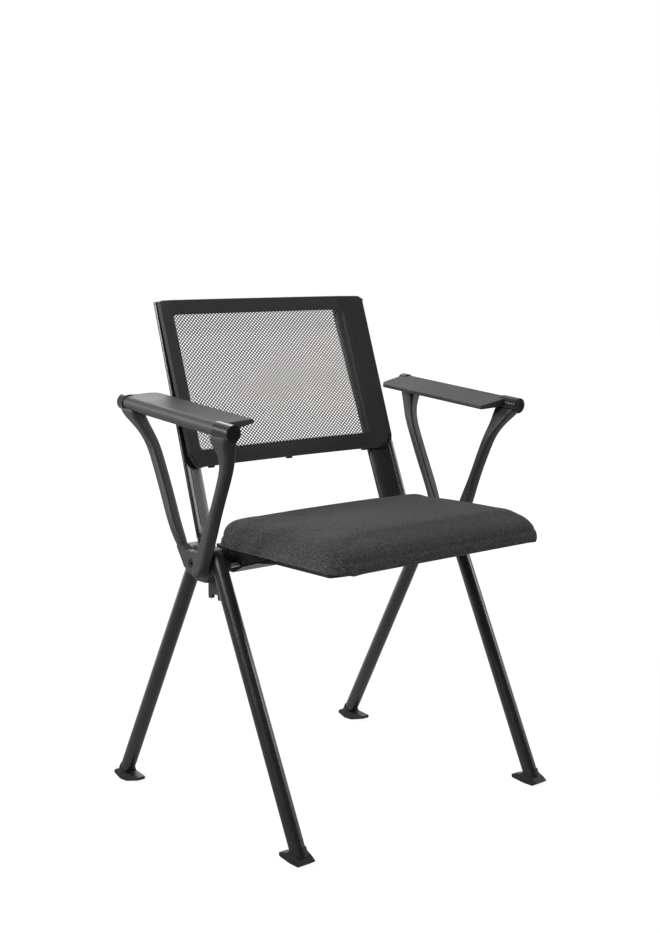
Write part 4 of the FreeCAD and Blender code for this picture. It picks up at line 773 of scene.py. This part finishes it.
class CHAIR_OT_back_mesh(bpy.types.Operator):
    """Stretch the mesh over the back frame"""

    bl_idname = "chair.back_mesh"
    bl_label = "Back Mesh"

    def execute(self, context):
        settings = context.scene.chair_mesh
        low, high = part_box("back_mesh")
        cad = merged_copy("back_mesh")
        tree = BVHTree.FromBMesh(cad)
        cad.free()
        slope = math.hypot(high.z - low.z, MESH_LEAN) / (high.z - low.z)
        obj, area, edge = self.cloth(tree, low, high, slope)
        rim = [point + Vector((0, settings.hem / 2, 0)) for point in edge]
        obj.data.shade_smooth()
        paint(obj, mesh_material(settings))
        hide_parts("back_mesh")
        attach(obj, "frame")
        thread = grained("Mesh thread", settings.colour, 0.6, 2400.0, 0.00004)
        hem = along_path("back_mesh_hem", rim, piping_group, Radius=settings.hem / 2,
                         Material=thread)
        stitches = along_path(
            "back_mesh_stitches", self.window_path(tree, low, high), stitch_group,
            Pitch=settings.stitch, Length=settings.stitch * 0.66, Radius=0.0004, Seed=5,
            Material=thread)
        for piece in (hem, stitches):
            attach(piece, "frame")
        return {"FINISHED"}

    @staticmethod
    def half_width(z, low, high):
        """Half the mesh's width at height z, with its rounded corners."""
        corner_low, corner_top = 0.025, 0.008
        reach = high.x
        for edge, radius, sign in ((low.z, corner_low, 1), (high.z, corner_top, -1)):
            inside = (z - edge) * sign
            if inside < radius:
                round_part = math.sqrt(max(0.0, radius ** 2 - (radius - inside) ** 2))
                reach = high.x - radius + round_part
        return reach

    @classmethod
    def cloth(cls, tree, low, high, slope):
        """The sheet on the CAD solid's front: its object, its area and its edge's points."""
        columns, rows = 90, 56
        inset = 0.0006
        ahead = Vector((0, 1, 0))
        shape = bmesh.new()
        sheet = shape.loops.layers.uv.new("Sheet")
        grid = []
        for row in range(rows + 1):
            z = low.z + (high.z - low.z) * row / rows
            inner_z = max(low.z + inset, min(high.z - inset, z))
            reach = cls.half_width(z, low, high)
            line = []
            for column in range(columns + 1):
                x = (-1 + 2 * column / columns) * reach
                inner_x = max(-high.x + inset, min(high.x - inset, x))
                hit = tree.ray_cast(Vector((inner_x, low.y - 0.2, inner_z)), ahead)[0]
                if hit is None:
                    nearby = Vector((inner_x, (low.y + high.y) / 2, inner_z))
                    hit = tree.find_nearest(nearby)[0]
                line.append(shape.verts.new((x, hit.y, z)))
            grid.append(line)
        for lower, upper in zip(grid, grid[1:]):
            for n in range(columns):
                shape.faces.new((lower[n], lower[n + 1], upper[n + 1], upper[n]))
        for face in shape.faces:
            for loop in face.loops:
                loop[sheet].uv = (loop.vert.co.x, loop.vert.co.z * slope)
        area = sum(face.calc_area() for face in shape.faces)
        right = [line[-1] for line in grid[1:]]
        left = [line[0] for line in grid[-2:0:-1]]
        edge = [vertex.co.copy() for vertex in grid[0] + right + grid[-1][-2::-1] + left]
        mesh = bpy.data.meshes.new("back_mesh_cloth")
        shape.to_mesh(mesh)
        shape.free()
        return new_object("back_mesh_cloth", mesh), area, edge

    @staticmethod
    def window_path(cloth, low, high):
        """Points on the cloth just outside the frame's window, which is found by probing the frame."""
        cad = merged_copy("back_frame")
        panel = BVHTree.FromBMesh(cad)
        cad.free()
        ahead = Vector((0, 1, 0))
        middle = (low.z + high.z) / 2

        def reach(dx, dz):
            """How far the window is open from its middle."""
            far = 0.0
            while far < high.x:
                before = Vector((dx * far, low.y - 0.2, middle + dz * far))
                if panel.ray_cast(before, ahead)[0] is not None:
                    break
                far += 0.0005
            return far

        margin, radius = 0.004, 0.016
        half = reach(1, 0) + margin
        bottom = middle - reach(0, -1) - margin
        top = middle + reach(0, 1) + margin
        points = []
        corners = ((half, top), (-half, top), (-half, bottom), (half, bottom))
        for corner, (x, z) in enumerate(corners):
            for step in range(13):
                angle = math.radians(90.0 * corner + 7.5 * step)
                px = x - math.copysign(radius, x) + radius * math.cos(angle)
                pz = z - math.copysign(radius, z - middle) + radius * math.sin(angle)
                points.append((px, pz))
        path = []
        for (x, z), (next_x, next_z) in zip(points, points[1:] + points[:1]):
            for step in range(12):
                at = Vector((x + (next_x - x) * step / 12, low.y - 0.2,
                             z + (next_z - z) * step / 12))
                path.append(cloth.ray_cast(at, ahead)[0] - ahead * 0.0001)
        return path


def toward_backdrop(tree, vector, dark, light):
    """The brightness of the room in reflections: low on the camera's side, 1 at the backdrop."""
    dot = tree.nodes.new("ShaderNodeVectorMath")
    dot.operation = "DOT_PRODUCT"
    tree.links.new(vector, dot.inputs[0])
    dot.inputs[1].default_value = BACKDROP
    scale = tree.nodes.new("ShaderNodeMapRange")
    tree.links.new(dot.outputs["Value"], scale.inputs["Value"])
    scale.inputs["From Min"].default_value = dark
    scale.inputs["From Max"].default_value = light
    scale.inputs["To Min"].default_value = ROOM_DARK
    scale.inputs["To Max"].default_value = 1.0
    return scale.outputs["Result"]


class CHAIR_OT_studio(bpy.types.Operator):
    """Floor, lights and the camera"""

    bl_idname = "chair.studio"
    bl_label = "Studio"

    def execute(self, context):
        settings = context.scene.chair_studio
        self.floor()
        self.world(context)
        self.lamp("Key", (-2.7, -0.7, 2.3), 1.5, settings.key_power)
        self.lamp("Fill", (2.6, -1.8, 1.8), 1.6, settings.fill_power)
        self.lamp("Rim", (0.9, 2.6, 2.2), 1.4, settings.fill_power)
        self.lamp("Edge", (-2.5, 1.5, 1.5), 1.1, settings.edge_power)
        self.camera(context, settings)
        context.scene.view_settings.view_transform = "Standard"
        return {"FINISHED"}

    @staticmethod
    def floor():
        mesh = bpy.data.meshes.new("studio_floor")
        shape = bmesh.new()
        bmesh.ops.create_grid(shape, x_segments=1, y_segments=1, size=12.0)
        shape.to_mesh(mesh)
        shape.free()
        obj = new_object("studio_floor", mesh)
        material, tree, shader = principled("Studio floor")
        shader.inputs["Base Color"].default_value = (0.86, 0.86, 0.86, 1.0)
        shader.inputs["Roughness"].default_value = 0.9
        white = tree.nodes.new("ShaderNodeEmission")
        white.inputs["Color"].default_value = (1.0, 1.0, 1.0, 1.0)
        place = tree.nodes.new("ShaderNodeTexCoord")
        path = tree.nodes.new("ShaderNodeLightPath")
        glossy = path.outputs["Is Glossy Ray"]
        room = toward_backdrop(tree, place.outputs["Object"], -0.3, 1.5)
        dimmed = maths(tree, "SUBTRACT", room, FLOOR_GLOW)
        tree.links.new(maths(tree, "MULTIPLY_ADD", glossy, dimmed, FLOOR_GLOW),
                       white.inputs["Strength"])
        seen = maths(tree, "MAXIMUM", path.outputs["Is Camera Ray"],
                     maths(tree, "MAXIMUM", glossy, path.outputs["Is Transmission Ray"]))
        mix = tree.nodes.new("ShaderNodeMixShader")
        # close to the chair the floor takes its shadow; further off it is plain white
        far = tree.nodes.new("ShaderNodeVectorMath")
        far.operation = "LENGTH"
        tree.links.new(place.outputs["Object"], far.inputs[0])
        share = tree.nodes.new("ShaderNodeMapRange")
        tree.links.new(far.outputs["Value"], share.inputs["Value"])
        share.inputs["From Min"].default_value = 0.8
        share.inputs["From Max"].default_value = 2.6
        share.inputs["To Min"].default_value = 0.86
        share.inputs["To Max"].default_value = 1.0
        tree.links.new(maths(tree, "MULTIPLY", seen, share.outputs["Result"]), mix.inputs[0])
        tree.links.new(shader.outputs[0], mix.inputs[1])
        tree.links.new(white.outputs[0], mix.inputs[2])
        tree.links.new(mix.outputs[0], tree.nodes["Material Output"].inputs["Surface"])
        paint(obj, material)

    @staticmethod
    def world(context):
        world = bpy.data.worlds.new("Studio")
        context.scene.world = world
        world.use_nodes = True
        tree = world.node_tree
        back = tree.nodes["Background"]
        back.inputs["Color"].default_value = (1.0, 1.0, 1.0, 1.0)
        place = tree.nodes.new("ShaderNodeTexCoord")
        path = tree.nodes.new("ShaderNodeLightPath")
        room = toward_backdrop(tree, place.outputs["Generated"], 0.05, 0.65)
        mirrored = maths(tree, "MULTIPLY", path.outputs["Is Glossy Ray"],
                         maths(tree, "SUBTRACT", room, ROOM_LIGHT))
        seen = maths(tree, "MAXIMUM", path.outputs["Is Camera Ray"],
                     path.outputs["Is Transmission Ray"])
        direct = maths(tree, "MULTIPLY_ADD", seen, 1.0 - ROOM_LIGHT, ROOM_LIGHT)
        tree.links.new(maths(tree, "ADD", direct, mirrored), back.inputs["Strength"])

    @staticmethod
    def lamp(name, place, size, power):
        data = bpy.data.lights.new(name, "AREA")
        data.shape = "DISK"
        data.size = size
        data.energy = power
        obj = bpy.data.objects.new(name, data)
        obj.location = place
        toward = Vector((0, 0, 0.4)) - Vector(place)
        obj.rotation_euler = toward.to_track_quat("-Z", "Y").to_euler()
        bpy.context.scene.collection.objects.link(obj)

    @staticmethod
    def camera(context, settings):
        data = bpy.data.cameras.new("Camera")
        data.sensor_width = 36.0
        data.lens = settings.lens
        data.shift_y = -0.025
        obj = bpy.data.objects.new("Camera", data)
        obj.location = (-1.591, -1.855, 0.913)
        turn, tilt = math.radians(-40.43), math.radians(7.38)
        ahead = Vector((-math.sin(turn) * math.cos(tilt), math.cos(turn) * math.cos(tilt),
                        -math.sin(tilt)))
        obj.rotation_euler = ahead.to_track_quat("-Z", "Y").to_euler()
        context.scene.collection.objects.link(obj)
        context.scene.camera = obj


class CHAIR_PT_panel(bpy.types.Panel):
    """Buttons and settings in the sidebar"""

    bl_idname = "CHAIR_PT_panel"
    bl_label = "Nesting Chair"
    bl_space_type = "VIEW_3D"
    bl_region_type = "UI"
    bl_category = "Chair"

    def draw(self, context):
        layout = self.layout
        for operator in OPERATORS:
            layout.operator(operator.bl_idname)
        for group in GROUPS:
            settings = getattr(context.scene, GROUPS[group])
            for name in group.__annotations__:
                layout.prop(settings, name)


GROUPS = {
    ChairFinish: "chair_finish",
    ChairCushion: "chair_cushion",
    ChairMesh: "chair_mesh",
    ChairStudio: "chair_studio",
}
OPERATORS = (
    CHAIR_OT_frame_finish,
    CHAIR_OT_seat_cushion,
    CHAIR_OT_back_mesh,
    CHAIR_OT_studio,
)


def register():
    for group, name in GROUPS.items():
        bpy.utils.register_class(group)
        setattr(bpy.types.Scene, name, bpy.props.PointerProperty(type=group))
    for cls in (*OPERATORS, CHAIR_PT_panel):
        bpy.utils.register_class(cls)


def unregister():
    for cls in reversed((*OPERATORS, CHAIR_PT_panel)):
        bpy.utils.unregister_class(cls)
    for group, name in reversed(GROUPS.items()):
        delattr(bpy.types.Scene, name)
        bpy.utils.unregister_class(group)


def main():
    """Dress the chair and set up the studio."""
    register()
    bpy.ops.chair.frame_finish()
    bpy.ops.chair.seat_cushion()
    bpy.ops.chair.back_mesh()
    bpy.ops.chair.studio()


if __name__ == "__main__":
    main()
